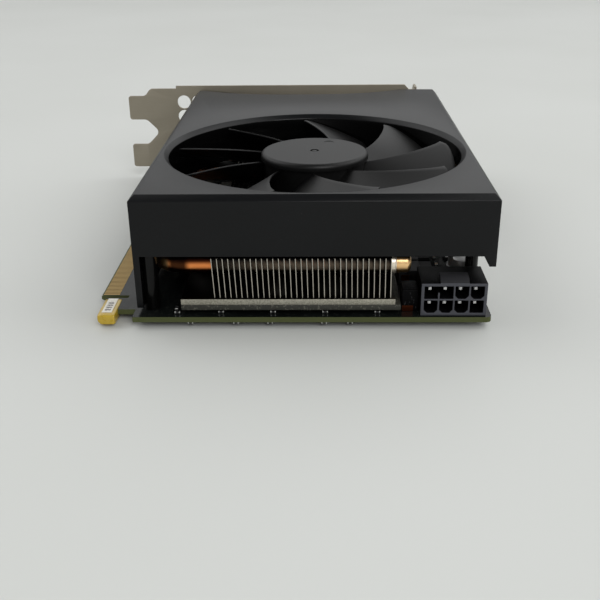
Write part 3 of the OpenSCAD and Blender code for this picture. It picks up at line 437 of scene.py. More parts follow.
# %% [markdown]
# ## Finishes of the metals
#
# Bare aluminium fins, a cast plate with a black coat, copper pipes, plated steel and gold fingers differ in
# colour, but more in how their surface is worked: rolled sheet has long fine lines, cast metal has specks,
# a drawn pipe is smooth with a little tarnish. The lines are noise that is drawn out along one axis, and
# they turn the roughness up and down.


# %% Sheet metals
@finish
def fin_aluminium(place):
    rolled = noise(place, 0.12, 2, (1, 40, 1))
    cloud = noise(place, 6)
    # Cut edges are paler than the sheet, but only the ones facing the front are painted pale: partly the
    # bare cut edge, partly a painted highlight where the front light falls.
    cut = place.node("TexCoord", None, None, "Normal").part("y") < -0.5
    # The sheet faces are painted dark grey instead of bright aluminium: painted shade between the fins.
    sheet = mix(cloud, paint(40, 38, 36), paint(58, 56, 52))
    return {
        "Base Color": mix(cut, sheet, paint(180, 175, 163)),
        "Metallic": 1 - 0.4 * cut,
        "Roughness": 0.12 + 0.12 * rolled + 0.3 * cut,
        "Normal": relief(rolled, 0.002),
    }


@finish
def collar_aluminium(place):
    drawn = noise(place, 0.15, 2, (1, 8, 8))
    cloud = noise(place, 3)
    # Painted shade: the collars are painted darker towards the left end of the stack, where the leaning fins
    # shade them.
    painted_shade_left = 1 - place.part("x").ease(spot(34, 0, 0).x, spot(52, 0, 0).x)
    # The collar metal is painted far darker than bare aluminium: painted shade between the fins.
    metal = mix(cloud, paint(84, 73, 62), paint(108, 95, 82))
    # Painted highlight: the collars past 83.5 mm are painted near white.
    painted_highlight_end = place.part("x") > spot(83.5, 0, 0).x
    lit_metal = mix(painted_highlight_end, metal, paint(250, 240, 222))
    near = place.part("y") < spot(0, 14, 0).y
    # Painted highlight and painted shade: on the front collars, left of the white end, only a band at 13 mm
    # keeps its colour, and above and below it they are painted almost black.
    off_middle = abs(place.part("z") - spot(0, 0, 13).z).ease(0.0006, 0.0017)
    painted_shade_above_below = off_middle * near * (1 - painted_highlight_end)
    # dull is the collar colour with that painted shade on the left.
    dull = mix(0.9 * painted_shade_left, lit_metal, paint(40, 36, 30))
    return {
        "Base Color": mix(painted_shade_above_below, dull, paint(13, 12, 10)),
        "Metallic": 0.9,
        "Roughness": 0.24 + 0.16 * drawn,
        "Normal": relief(drawn, 0.006),
    }


@finish
def base_aluminium(place):
    sawn = noise(place, 0.25, 3, (3, 3, 1))
    speck = noise(place, 0.35)
    # Painted shade: faces that look up are painted dark, as they lie under the fins; the other faces keep
    # the pale sawn colour.
    top = place.node("TexCoord", None, None, "Normal").part("z") > 0.5
    edge = mix(speck.ease(0.3, 0.7), paint(144, 141, 129), paint(180, 176, 162))
    return {
        "Base Color": mix(top, edge, paint(44, 42, 38)),
        "Metallic": 0.85 + 0.15 * top,
        "Roughness": 0.42 + 0.2 * sawn - 0.2 * top,
        "Normal": relief(sawn, 0.02),
    }


@finish
def dark_plate(place):
    speck = noise(place, 0.4, 3)
    pale = noise(place, 0.55, 2) > 0.62
    coat = mix(speck, paint(42, 42, 38), paint(66, 66, 60))
    return {
        "Base Color": mix(0.6 * pale, coat, paint(118, 116, 106)),
        "Metallic": 0.45,
        "Roughness": 0.5 + 0.2 * speck,
        "Normal": relief(speck, 0.03),
    }


@finish
def bracket_steel(place):
    brushed = noise(place, 0.1, 2, (60, 1, 1))
    cloud = noise(place, 14, 3)
    return {
        "Base Color": mix(cloud, paint(150, 143, 128), paint(172, 165, 150)),
        "Metallic": 1,
        "Roughness": 0.46 + 0.16 * brushed + 0.08 * cloud,
        "Normal": relief(brushed, 0.004),
    }


@finish
def screw_steel(place):
    turned = noise(place, 0.15)
    return {
        "Base Color": mix(turned, paint(96, 96, 98), paint(132, 132, 134)),
        "Metallic": 1,
        "Roughness": 0.28 + 0.2 * turned,
        "Normal": relief(turned, 0.006),
    }


@finish
def spring_steel(place):
    rolled = noise(place, 0.12, 2, (30, 1, 1))
    return {
        "Base Color": mix(rolled, paint(150, 150, 150), paint(182, 182, 180)),
        "Metallic": 1,
        "Roughness": 0.25 + 0.2 * rolled,
        "Normal": relief(rolled, 0.004),
    }


@finish
def port_shell(place):
    rolled = noise(place, 0.12, 2, (1, 30, 1))
    return {
        "Base Color": mix(rolled, paint(186, 184, 178), paint(212, 210, 204)),
        "Metallic": 1,
        "Roughness": 0.2 + 0.16 * rolled,
        "Normal": relief(rolled, 0.003),
    }


# %% Copper, gold and tin
@finish
def copper(place):
    drawn = noise(place, 0.2, 2, (20, 1, 1))
    tarnish = noise(place, 4, 4)
    x = place.part("x")
    z = place.part("z")
    near = place.part("y") < spot(0, 14, 0).y
    # Painted shade: a dark patch on the front leg right of its bend, near 24.6 mm, where the bend lies in
    # shade.
    painted_shade_patch = 1 - abs(x - spot(24.6, 0, 0).x).ease(0.0016, 0.0038)
    # Painted highlight and painted shade: on the front part only a narrow stripe at 13.1 mm keeps the copper
    # colour, and above and below it the copper is painted dark brown.
    painted_shade_off_stripe = abs(z - spot(0, 0, 13.1).z).ease(0.0002, 0.0014)
    # Painted highlight: the left end of the front bend and the pipe ends from 82 mm on, above 9 mm, are
    # painted pale cream.
    bend = near * (1 - x.ease(spot(20.6, 0, 0).x, spot(22.4, 0, 0).x))
    painted_highlight_mask = (bend + x.ease(spot(82, 0, 0).x, spot(86, 0, 0).x)) * (z > spot(0, 0, 9).z)
    # The copper is painted brighter in its first 14 mm and darker behind them: painted shade inside the
    # card. The tarnish cloud in both is real.
    lit_metal = mix(tarnish, paint(250, 160, 92), paint(232, 136, 74))
    painted_shade_copper = mix(tarnish, paint(132, 80, 50), paint(108, 62, 38))
    copper_with_painted_highlight = mix(painted_highlight_mask, mix(near, painted_shade_copper, lit_metal), paint(255, 212, 152))
    # dull is the copper with that painted shade above and below the stripe.
    dull = mix(near * painted_shade_off_stripe * (1 - 0.6 * painted_highlight_mask), copper_with_painted_highlight, paint(74, 36, 20))
    return {
        "Base Color": mix(0.95 * painted_shade_patch * near, dull, paint(34, 18, 12)),
        "Metallic": 1,
        "Roughness": 0.2 + 0.14 * tarnish + 0.06 * drawn,
        "Normal": relief(drawn, 0.003),
    }


@finish
def gold(place):
    worn = noise(place, 0.08, 2, (40, 1, 1))
    cloud = noise(place, 5)
    return {
        "Base Color": mix(cloud, paint(153, 126, 74), paint(171, 144, 88)),
        "Metallic": 1,
        "Roughness": 0.3 + 0.22 * worn,
        "Normal": relief(worn, 0.003),
    }


@finish
def tinned_pins(place):
    dull = noise(place, 0.4, 3)
    return {
        "Base Color": mix(dull, paint(246, 246, 244), paint(255, 255, 254)),
        "Metallic": 0.3,
        "Roughness": 0.25 + 0.1 * dull,
    }


@finish
def solder(place):
    frost = noise(place, 0.5, 3)
    return {
        "Base Color": mix(frost, paint(168, 168, 164), paint(206, 206, 202)),
        "Metallic": 1,
        "Roughness": 0.16 + 0.26 * frost,
        "Normal": relief(frost, 0.01),
    }


@finish
def bronze(place):
    pores = noise(place, 0.2)
    return {
        "Base Color": mix(pores, paint(150, 112, 64), paint(186, 146, 92)),
        "Metallic": 1,
        "Roughness": 0.4 + 0.2 * pores,
    }


# %% [markdown]
# ## Finishes of the small parts
#
# The parts on the board are cheap mass goods: chips are dull grey-black from their moulded resin, chokes
# are pressed from iron powder and look like fine stone, ceramic capacitors are tan. Their size is a few
# pixels, so a speck of the right size and a change in roughness say more than a drawn mark.


# %% Chips, chokes, cans and motor parts
@finish
def chip_plastic(place):
    grain = noise(place, 0.12)
    cloud = noise(place, 5)
    return {
        "Base Color": mix(cloud, paint(30, 30, 31), paint(40, 40, 41)),
        "Roughness": 0.45 + 0.2 * grain,
        "Normal": relief(grain, 0.006),
    }


@finish
def choke_ferrite(place):
    speck = noise(place, 0.22, 3)
    pale = noise(place, 0.3) > 0.66
    powder = mix(speck, paint(22, 22, 23), paint(36, 36, 38))
    return {
        "Base Color": mix(0.4 * pale, powder, paint(104, 104, 106)),
        "Roughness": 0.42 + 0.25 * speck,
        "Normal": relief(speck, 0.02),
    }


@finish
def choke_coat(place):
    cloud = noise(place, 2)
    scratch = noise(place, 0.3, 2, (1, 1, 5)) > 0.66
    coat = mix(cloud, paint(4, 4, 5), paint(7, 7, 8))
    return {
        "Base Color": mix(0.3 * scratch, coat, paint(120, 120, 124)),
        "Roughness": 0.4 + 0.2 * cloud,
        "Specular IOR Level": 0.06,
    }


can_low, can_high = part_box("capacitor_cans")
can_middle = (can_low.x + can_high.x) / 2
mark_start = 0.0011
foot_h = 0.001


@finish
def can_aluminium(place):
    drawn = noise(place, 0.15, 2, (1, 1, 20))
    upright = place.node("TexCoord", None, None, "Normal").part("z")
    mark = (upright > 0.9) * (place.part("x") > can_middle + mark_start)
    foot = place.part("z") < can_low.z + foot_h
    metal = mix(drawn, paint(196, 196, 196), paint(226, 226, 226))
    return {
        "Base Color": mix(foot, mix(mark, metal, paint(52, 46, 92)), paint(24, 24, 24)),
        "Metallic": (1 - foot) * (1 - mark),
        "Roughness": 0.35 + 0.2 * drawn + 0.2 * foot,
    }


@finish
def crystal_can(place):
    drawn = noise(place, 0.3, 3)
    return {
        "Base Color": mix(drawn, paint(190, 190, 188), paint(220, 220, 216)),
        "Metallic": 1,
        "Roughness": 0.22 + 0.2 * drawn,
    }


@finish
def ceramic(place):
    speck = noise(place, 0.2)
    return {
        "Base Color": mix(speck, paint(138, 104, 72), paint(170, 134, 98)),
        "Roughness": 0.35 + 0.2 * speck,
    }


@finish
def resistor_black(place):
    speck = noise(place, 0.2)
    return {
        "Base Color": mix(speck, paint(20, 20, 21), paint(34, 34, 36)),
        "Roughness": 0.3 + 0.2 * speck,
    }


@finish
def silicon(place):
    cloud = noise(place, 3)
    return {
        "Base Color": mix(cloud, paint(88, 90, 100), paint(116, 118, 128)),
        "Metallic": 0.7,
        "Roughness": 0.08 + 0.06 * cloud,
    }


@finish
def paste(place):
    smear = noise(place, 2, 4)
    return {
        "Base Color": mix(smear, paint(164, 164, 162), paint(196, 196, 194)),
        "Roughness": 0.5 + 0.2 * smear,
        "Normal": relief(smear, 0.04),
    }


@finish
def pad_rubber(place):
    speck = noise(place, 0.4)
    return {
        "Base Color": mix(speck, paint(138, 150, 166), paint(164, 176, 192)),
        "Roughness": 0.7 + 0.15 * speck,
        "Normal": relief(speck, 0.02),
    }


@finish
def core_steel(place):
    sheet = (place.part("z") * 1000 / 0.5).fraction() < 0.2
    speck = noise(place, 0.3)
    steel = mix(speck, paint(120, 122, 126), paint(148, 150, 154))
    return {
        "Base Color": mix(sheet, steel, paint(40, 40, 42)),
        "Metallic": 0.9,
        "Roughness": 0.35 + 0.2 * speck,
    }


@finish
def winding(place):
    strand = (place.part("z") * 1000 / 0.28).fraction()
    cloud = noise(place, 1.5)
    return {
        "Base Color": mix(cloud, paint(168, 84, 40), paint(204, 116, 60)),
        "Metallic": 0.9,
        "Roughness": 0.22 + 0.15 * cloud,
        "Normal": relief(strand, 0.08),
    }


@finish
def yoke_steel(place):
    drawn = noise(place, 0.2, 2, (1, 1, 15))
    return {
        "Base Color": mix(drawn, paint(150, 150, 152), paint(182, 182, 184)),
        "Metallic": 1,
        "Roughness": 0.25 + 0.2 * drawn,
    }


@finish
def magnet(place):
    speck = noise(place, 0.3)
    return {
        "Base Color": mix(speck, paint(44, 41, 40), paint(62, 58, 56)),
        "Roughness": 0.55 + 0.2 * speck,
        "Normal": relief(speck, 0.02),
    }


# %% [markdown]
# ## Tape and label
#
# A strip of amber film is folded round the hook, with a scrap of paper on it. Film is thin, smooth and a
# little wrinkled, so its gloss is what shows. The print on the paper is left as plain bars, drawn by the
# material from the place along the label.


# %% Tape and paper
@finish
def yellow_tape(place):
    wrinkle = noise(place, 2.2, 3, (1, 2, 1))
    cloud = noise(place, 1.4)
    return {
        "Base Color": mix(cloud, paint(170, 138, 24), paint(192, 164, 46)),
        "Roughness": 0.22 + 0.14 * cloud,
        "Normal": relief(wrinkle, 0.12),
        "Coat Weight": 0.4,
        "Coat Roughness": 0.12,
    }


label_low, label_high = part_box("hook_label")
label_middle = (label_low.x + label_high.x) / 2


@finish
def paper(place):
    fibre = noise(place, 0.25, 3)
    along = (place.part("y") - label_low.y) * 1000
    across = abs(place.part("x") - label_middle) * 1000
    printed = (across < 0.85) * (along > 1.1) * (along < 7.2)
    bars = ((along / 1.5 + 0.25).fraction() < 0.62) * printed
    gaps = noise(place, 0.55) > 0.42
    sheet = mix(fibre, paint(222, 219, 208), paint(240, 238, 230))
    return {
        "Base Color": mix(0.85 * bars * gaps, sheet, paint(52, 46, 52)),
        "Roughness": 0.75 + 0.15 * fibre,
        "Normal": relief(fibre, 0.01),
    }


# %% [markdown]
# ## CAD pieces that keep their own shape
#
# Flat chips, contacts and the parts inside the fan's motor are right as they are, and they only need their
# finish. They are listed by finish, so that a piece without one stands out.

# %% Finishes of the CAD pieces
plain_nodes = {
    solder_mask: ["circuit_board"],
    gold: ["edge_contacts"],
    paper: ["hook_label"],
    port_plastic: ["narrow_port_tongue", "wide_port_tongues"],
    tinned_pins: ["fan_header_pins"],
    bronze: ["fan_bearing"],
    motor_board_mask: ["motor_board", "gpu_carrier"],
    core_steel: ["stator_core"],
    winding: ["stator_coils"],
    yoke_steel: ["rotor_yoke", "fan_shaft"],
    magnet: ["rotor_magnet"],
    white_nylon: ["shaft_clip"],
    copper: ["cold_plate"],
    silicon: ["gpu_die"],
    paste: ["heat_paste"],
    pad_rubber: ["thermal_pads"],
    chip_plastic: ["memory_chips", "power_stages", "controller_chip", "bios_chip"],
    crystal_can: ["clock_crystal"],
}
for material, names in plain_nodes.items():
    for name in names:
        nodes[name].data.materials.clear()
        nodes[name].data.materials.append(material)
print(sum(len(names) for names in plain_nodes.values()), "CAD pieces have their finish")

# %% [markdown]
# ## CAD pieces with softened edges
#
# No real edge is razor sharp. Moulded and stamped edges have a radius of a tenth of a millimetre or more,
# and the thin bright line on it is what makes an edge look real. A CAD node's mesh may not change, so each
# piece here is a copy: its triangles are merged, flat neighbours are dissolved into few convex faces, and a
# Bevel modifier rounds what is sharp. The bracket's tongues are stamped with rounder corners, so their
# edges are picked and bevelled first.


# %% Softened copies
def only(piece):
    """Leaves the piece selected and active, and nothing else."""
    bpy.ops.object.select_all(action="DESELECT")
    piece.select_set(True)
    bpy.context.view_layer.objects.active = piece


def pick(piece, kind, test, along=None):
    """Selects the faces or edges whose points pass the test, or only edges along an axis, in edit mode."""
    only(piece)
    bpy.ops.object.mode_set(mode="EDIT")
    bpy.ops.mesh.select_mode(type=kind)
    bpy.ops.mesh.select_all(action="DESELECT")
    bpy.ops.object.mode_set(mode="OBJECT")
    points = piece.data.vertices
    for item in piece.data.polygons if kind == "FACE" else piece.data.edges:
        ends = [points[index].co for index in item.vertices]
        run = (ends[0] - ends[1]).normalized()
        aligned = along is None or abs(run.dot(along)) > 0.999
        item.select = aligned and all(test(end) for end in ends)
    bpy.ops.object.mode_set(mode="EDIT")


def apply_modifiers(piece):
    """Makes what the piece's modifiers do part of its mesh, in their order."""
    only(piece)
    for modifier in list(piece.modifiers):
        bpy.ops.object.modifier_apply(modifier=modifier.name)


def round_edges(piece, width, segments=2, angle=35):
    """Bevels the edges that turn by more than an angle, width in millimetres, and smooths the rest."""
    bevel = piece.modifiers.new("edge", "BEVEL")
    bevel.width = width / 1000
    bevel.segments = segments
    bevel.limit_method = "ANGLE"
    bevel.angle_limit = math.radians(angle)
    bevel.use_clamp_overlap = False
    apply_modifiers(piece)
    bpy.ops.object.shade_smooth_by_angle(angle=math.radians(angle))


def settle(piece, material, body="card"):
    """Gives the piece its finish and its body."""
    piece.data.materials.clear()
    piece.data.materials.append(material)
    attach(piece, body)
    print(piece.name, "has", len(piece.data.polygons), "faces")


def soften(node, name, material, width, segments=2, angle=35):
    """Copy of a CAD node with round edges, which stands for it."""
    piece = bpy.data.objects.new(name, nodes[node].data.copy())
    bpy.context.scene.collection.objects.link(piece)
    only(piece)
    bpy.ops.object.mode_set(mode="EDIT")
    bpy.ops.mesh.select_all(action="SELECT")
    bpy.ops.mesh.remove_doubles(threshold=0.000002)
    bpy.ops.mesh.dissolve_limited(angle_limit=math.radians(0.3))
    bpy.ops.mesh.vert_connect_concave()
    bpy.ops.object.mode_set(mode="OBJECT")
    if width:
        round_edges(piece, width, segments, angle)
    else:
        bpy.ops.object.shade_smooth_by_angle(angle=math.radians(angle))
    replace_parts(piece, node)
    settle(piece, material)
    return piece


soften("shroud", "shroud_shell", shroud_plastic, 0.12)
soften("fan_base", "fan_carrier", fan_plastic, 0.15)
soften("power_header", "power_housing", header_plastic, 0.12)
soften("power_pins", "pin_rods", tinned_pins, 0.09, 1)
soften("heatsink_base", "base_slab", base_aluminium, 0.12)
soften("memory_plate", "memory_slab", dark_plate, 0.15)
soften("input_choke", "input_choke_block", choke_coat, 0.35, 3)
soften("power_chokes", "choke_blocks", choke_ferrite, 0.35, 3)
soften("memory_chokes", "small_choke_blocks", choke_ferrite, 0.3, 3)
soften("capacitor_cans", "capacitor_bodies", can_aluminium, 0.3, 3)
soften("narrow_port_shell", "narrow_port_sleeve", port_shell, 0.08)
soften("wide_port_shells", "wide_port_sleeves", port_shell, 0.08)
soften("fan_header", "fan_socket", white_nylon, 0.08)
soften("leaf_spring", "leaf_spring_plate", spring_steel, 0.1)
for name in ("bracket_screws", "shroud_screws", "fan_screws", "cooler_screws"):
    soften(name, name + "_rounded", screw_steel, 0.1)
for name in ("outer_heat_pipe", "inner_heat_pipe", "rear_heat_pipe"):
    soften(name, name + "_smooth", copper, 0, 2, 50)

# %% Bracket with round tongues
plate = soften("slot_bracket", "slot_plate", bracket_steel, 0)
through_plate = Vector((0, 1, 0))
tongue_tips = (-17, -6, 1)
tongue_roots = (-5, -3, 2.2)
for left, right, radius in (tongue_tips, tongue_roots):
    low_x = spot(left, 0, 0).x
    high_x = spot(right, 0, 0).x
    pick(plate, "EDGE", lambda point: low_x < point.x < high_x, through_plate)
    bpy.ops.mesh.bevel(offset=radius / 1000, segments=4)
    bpy.ops.object.mode_set(mode="OBJECT")
round_edges(plate, 0.08)
print("bracket with", len(plate.data.polygons), "faces")

# %% [markdown]
# ## Fins and their collars
#
# The fins are thin sheets that are pushed onto the pipes, and each has a collar that is drawn out of the
# sheet around the pipe and keeps the next fin at its distance. The photo's sheets look thinner than the CAD
# ones, so their faces move in a little. Bare sheets bend when the card is handled, and the ones at the left
# lean over. A lattice around the stack leans it: its upper left points move, and the fins follow.

# %% Fins
lean_x = 1.1
thinning = 0.00004
fins = soften("heatsink_fins", "fin_stack", fin_aluminium, 0)
fins_low, fins_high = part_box("heatsink_fins")
pick(fins, "FACE", lambda point: True)
bpy.ops.transform.shrink_fatten(value=-thinning, use_even_offset=True)
bpy.ops.object.mode_set(mode="OBJECT")
print("thinned fins are", 1000 * fins.dimensions, "mm instead of", 1000 * (fins_high - fins_low))
bpy.ops.object.select_all(action="DESELECT")
bpy.ops.object.add(type="LATTICE", location=(fins_low + fins_high) / 2)
cage = bpy.context.object
cage.scale = fins_high - fins_low
for point in cage.data.points:
    if point.co.z > 0 and point.co.x < 0:
        point.co_deform.x -= lean_x / 1000 / cage.scale.x
lean = fins.modifiers.new("lean", "LATTICE")
lean.object = cage
bpy.context.view_layer.update()
apply_modifiers(fins)
bpy.data.objects.remove(cage)
print("fins from", fins_low, "to", fins_high)

# %% One collar
pipe_r = 3
collar_wall = 0.26
collar_w = 1.1
flare_w = 0.00006
flare = 1.04
bpy.ops.object.select_all(action="DESELECT")
bpy.ops.mesh.primitive_cylinder_add(
    vertices=20,
    radius=(pipe_r + collar_wall) / 1000,
    depth=collar_w / 1000,
    end_fill_type="NOTHING",
    rotation=(0, math.pi / 2, 0),
)
collar = bpy.context.object
collar.name = "collar_pattern"
bpy.ops.object.transform_apply(rotation=True)
pick(collar, "EDGE", lambda point: point.x > 0)
bpy.ops.mesh.extrude_region_move(TRANSFORM_OT_translate={"value": (flare_w, 0, 0)})
bpy.ops.transform.resize(value=(1, flare, flare))
bpy.ops.object.mode_set(mode="OBJECT")
wall = collar.modifiers.new("wall", "SOLIDIFY")
wall.thickness = collar_wall / 1000
apply_modifiers(collar)
bpy.ops.object.shade_smooth_by_angle(angle=math.radians(30))
collar.data.materials.append(collar_aluminium)
print("collar with", len(collar.data.polygons), "faces")

# %% [markdown]
# ## The fan wheel
#
# The wheel is one moulding: a cap with a round edge, a skirt that holds the magnet, and nine swept blades.
# The CAD blades are flat facets. Here the hub is turned from a cylinder by inset and extrude, and a blade
# starts as a grid whose points are laid on the swept surface. Solidify gives it a thickness that fades to
# its edges, and eight copies make the wheel.

# %% Hub
hub_place = Vector(frame["joints"][0]["pos_m"])
hub_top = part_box("fan_rotor")[1].z
cap_r = 0.0169
cap_t = 0.0022
cap_step = 0.0009
cap_round = 0.0014
skirt_h = 0.0088
skirt_t = 0.0015
seam = 0.0003
pit_r = 0.0017
pit_depth = 0.0003
nub_step = 0.0006
nub_h = 0.0002
near_top = hub_top - 0.00001
cap_middle = hub_top - cap_t / 2


def push(height):
    """Extrudes the selected faces along Z, by a height in metres."""
    bpy.ops.mesh.extrude_region_move(TRANSFORM_OT_translate={"value": (0, 0, height)})


bpy.ops.object.select_all(action="DESELECT")
bpy.ops.mesh.primitive_cylinder_add(
    vertices=120,
    radius=cap_r,
    depth=cap_t,
    location=(hub_place.x, hub_place.y, cap_middle),
)
wheel = bpy.context.object
wheel.name = "fan_wheel"
bpy.ops.object.transform_apply(location=True)
pick(wheel, "FACE", lambda point: point.z < cap_middle)
bpy.ops.mesh.inset(thickness=cap_step)
push(-skirt_h)
bpy.ops.mesh.inset(thickness=skirt_t)
push(skirt_h)
bpy.ops.object.mode_set(mode="OBJECT")
pick(wheel, "EDGE", lambda point: point.z > near_top)
bpy.ops.mesh.bevel(offset=cap_round, segments=6)
bpy.ops.object.mode_set(mode="OBJECT")
pick(wheel, "FACE", lambda point: point.z > near_top)
bpy.ops.mesh.inset(thickness=seam)
bpy.ops.mesh.inset(thickness=cap_r - cap_round - seam - pit_r)
bpy.ops.mesh.inset(thickness=seam)
push(-pit_depth)
bpy.ops.mesh.inset(thickness=nub_step)
push(nub_h)
bpy.ops.object.mode_set(mode="OBJECT")
print("hub with", len(wheel.data.polygons), "faces")

# %% Balance dimple
dimple_turn = math.radians(66)
dimple_out = 0.66 * cap_r
dimple = hub_place + dimple_out * Vector((math.cos(dimple_turn), math.sin(dimple_turn), 0))
dimple.z = hub_top
bpy.ops.object.select_all(action="DESELECT")
bpy.ops.mesh.primitive_cone_add(vertices=32, radius1=0.0015, radius2=0.0019, depth=0.0003, location=dimple)
cutter = bpy.context.object
cut = wheel.modifiers.new("dimple", "BOOLEAN")
cut.object = cutter
apply_modifiers(wheel)
bpy.data.objects.remove(cutter)
print("hub with its dimple has", len(wheel.data.polygons), "faces")

# %% One blade
blade_count = 9
root_r = 15.25
tip_r = 44.27
tip_corner = 2
blade_t = 0.0012
lead_z = 30.1
tip_rise = 2.8
chord_drop = 8.6
start_turn = -12.1
sweep = 38.8
sweep_fade = 11.3
chord_turn = 31


def blade_point(u, v):
    """Point on a blade's upper face: u from the hub to the tip, v from the leading to the trailing edge."""
    r = root_r + u * (tip_r - root_r) - tip_corner * u**8 * (2 * v - 1) ** 10
    turn = math.radians(start_turn + sweep * u - sweep_fade * u * u - chord_turn * v)
    drop = chord_drop * (0.86 * v + 0.14 * v * v)
    height = spot(0, 0, lead_z + tip_rise * u - drop).z
    x = hub_place.x + r * math.cos(turn) / 1000
    y = hub_place.y + r * math.sin(turn) / 1000
    return Vector((x, y, height))


bpy.ops.object.select_all(action="DESELECT")
bpy.ops.mesh.primitive_grid_add(x_subdivisions=22, y_subdivisions=14, size=1)
blade = bpy.context.object
thick = blade.vertex_groups.new(name="thick")
for point in blade.data.vertices:
    u = point.co.x + 0.5
    v = point.co.y + 0.5
    thick.add([point.index], math.sin(math.pi * (0.04 + 0.92 * v)), "REPLACE")
    point.co = blade_point(u, v)
bpy.ops.object.mode_set(mode="EDIT")
bpy.ops.mesh.select_all(action="SELECT")
bpy.ops.mesh.flip_normals()
bpy.ops.object.mode_set(mode="OBJECT")
wall = blade.modifiers.new("wall", "SOLIDIFY")
wall.thickness = blade_t
wall.vertex_group = "thick"
wall.thickness_vertex_group = 0.3
apply_modifiers(blade)
round_edges(blade, 0.12, 2, 50)
print("blade with", len(blade.data.polygons), "faces")

# %% Nine blades on the hub
only(blade)
bpy.ops.object.mode_set(mode="EDIT")
bpy.ops.mesh.select_all(action="SELECT")
turn = 2 * math.pi / blade_count
bpy.ops.mesh.spin(
    steps=blade_count - 1,
    dupli=True,
    angle=turn * (blade_count - 1),
    center=hub_place,
    axis=(0, 0, 1),
)
bpy.ops.mesh.select_all(action="SELECT")
bpy.ops.mesh.normals_make_consistent(inside=False)
bpy.ops.object.mode_set(mode="OBJECT")
only(wheel)
blade.select_set(True)
bpy.ops.object.join()
bpy.ops.object.shade_smooth_by_angle(angle=math.radians(35))
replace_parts(wheel, "fan_rotor")
settle(wheel, fan_plastic, "fan")

# %% [markdown]
# ## Small parts on the board
#
# Around every large chip sit dozens of ceramic capacitors and resistors, each a block of a millimetre or
# two with tinned ends. One block is shaped by extruding its two ends a little wider than its body, as the
# dipped caps are. The rest are copies of it, put down in rows where a board has them and joined into one
# piece for each row.


# %% One small capacitor and one small resistor
body_l = 0.0008
body_w = 0.00072
cap_l = 0.0004
cap_flare = 1.1
half_h = 0.0004


def end_capped(name, body_material):
    """Block of 1.6 by 0.8 by 0.8 mm standing on z = 0, with tinned ends."""
    bpy.ops.object.select_all(action="DESELECT")
    bpy.ops.mesh.primitive_cube_add(size=1)
    block = bpy.context.object
    block.name = name
    block.scale = (body_l, body_w, body_w)
    bpy.ops.object.transform_apply(scale=True)
    for side in (-1, 1):
        pick(block, "FACE", lambda point: point.x * side > 0.0003)
        bpy.ops.mesh.extrude_region_move(TRANSFORM_OT_translate={"value": (0, 0, 0)})
        bpy.ops.transform.resize(value=(1, cap_flare, cap_flare))
        bpy.ops.mesh.extrude_region_move(TRANSFORM_OT_translate={"value": (side * cap_l, 0, 0)})
        bpy.ops.object.mode_set(mode="OBJECT")
    only(block)
    bpy.ops.transform.translate(value=(0, 0, half_h))
    bpy.ops.object.transform_apply(location=True)
    round_edges(block, 0.05, 1, 60)
    block.data.materials.append(body_material)
    block.data.materials.append(solder)
    for face in block.data.polygons:
        face.material_index = int(abs(face.center.x) > 0.00041)
    print(name, "has", len(block.data.polygons), "faces")
    return block


capacitor = end_capped("capacitor_pattern", ceramic)
resistor = end_capped("resistor_pattern", resistor_black)


def lay(name, places):
    """One piece from copies: each place is a pattern, x, y, z in millimetres and a turn about Z."""
    copies = []
    for pattern, x, y, z, turn in places:
        copy = bpy.data.objects.new(name, pattern.data.copy())
        flip = Matrix.Rotation(math.pi if z < 0 else 0, 4, "X")
        copy.data.transform(Matrix.Translation(spot(x, y, z)) @ Matrix.Rotation(turn, 4, "Z") @ flip)
        bpy.context.scene.collection.objects.link(copy)
        copies.append(copy)
    only(copies[0])
    for copy in copies:
        copy.select_set(True)
    bpy.ops.object.join()
    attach(copies[0], "card")
    print(name, "has", len(places), "parts and", len(copies[0].data.polygons), "faces")
    return copies[0]


# %% Collars on the pipes
fins_left = 34.87
fin_t = 0.3
fin_pitch = 1.513
fin_count = 33
high_legs = [(y, 13.1, 0.63) for y in (8.4, 26.4, 102.4)]
low_legs = [(y, 7.8, 0.23) for y in (52.75, 60.25, 67.75)]
first_x = fins_left + fin_t + collar_w / 2
collar_places = [
    (collar, first_x + fin_pitch * i - share * lean_x * (1 - i / (fin_count - 1)), y, z, 0)
    for y, z, share in high_legs + low_legs
    for i in range(fin_count)
]
lay("fin_collars", collar_places)
bpy.data.objects.remove(collar)

# %% Rows of small parts
across = math.pi / 2
plate_left = 25.47
tail_x = [plate_left + 10.9 + 14.5 * i for i in range(4)]
tail_row = [(resistor, x, 2.6 + 3 * j, 0, 0) for x in tail_x for j in range(2)]
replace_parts(lay("tail_chips", tail_row), "tail_capacitors")
lay("corner_chips", [(resistor, 23.6, 4.9, 0, across), (resistor, 24.2, 2.2, 0, 0)])

gpu_x = 59.23
gpu_y = 64
grid = [(i, j) for i in range(-3, 4) for j in range(-3, 4) if abs(i) != abs(j)]
under_gpu = [(capacitor, gpu_x + 3 * i, gpu_y + 3 * j, -board_t, 0) for i, j in grid]
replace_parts(lay("solder_side_chips", under_gpu), "solder_side_capacitors")

stage_rows = [26.4 + 9 * i for i in range(6)]
power_row = [(capacitor, 100.4, y + step, 0, across) for y in stage_rows for step in (-1.6, 1.6)]
power_row += [(resistor, 109.6, y + 4.5, 0, across) for y in stage_rows]
power_row += [(resistor, 95.6 + 1.9 * i, 80 + 2.4 * j, 0, across) for i in range(4) for j in range(3)]
lay("power_row_chips", power_row)

rear_rows = [
    (capacitor if (i + j) % 3 else resistor, 24 + 5.6 * i, 115 + 3.4 * j, 0, 0)
    for i in range(13)
    for j in range(3)
]
lay("rear_chips", rear_rows)

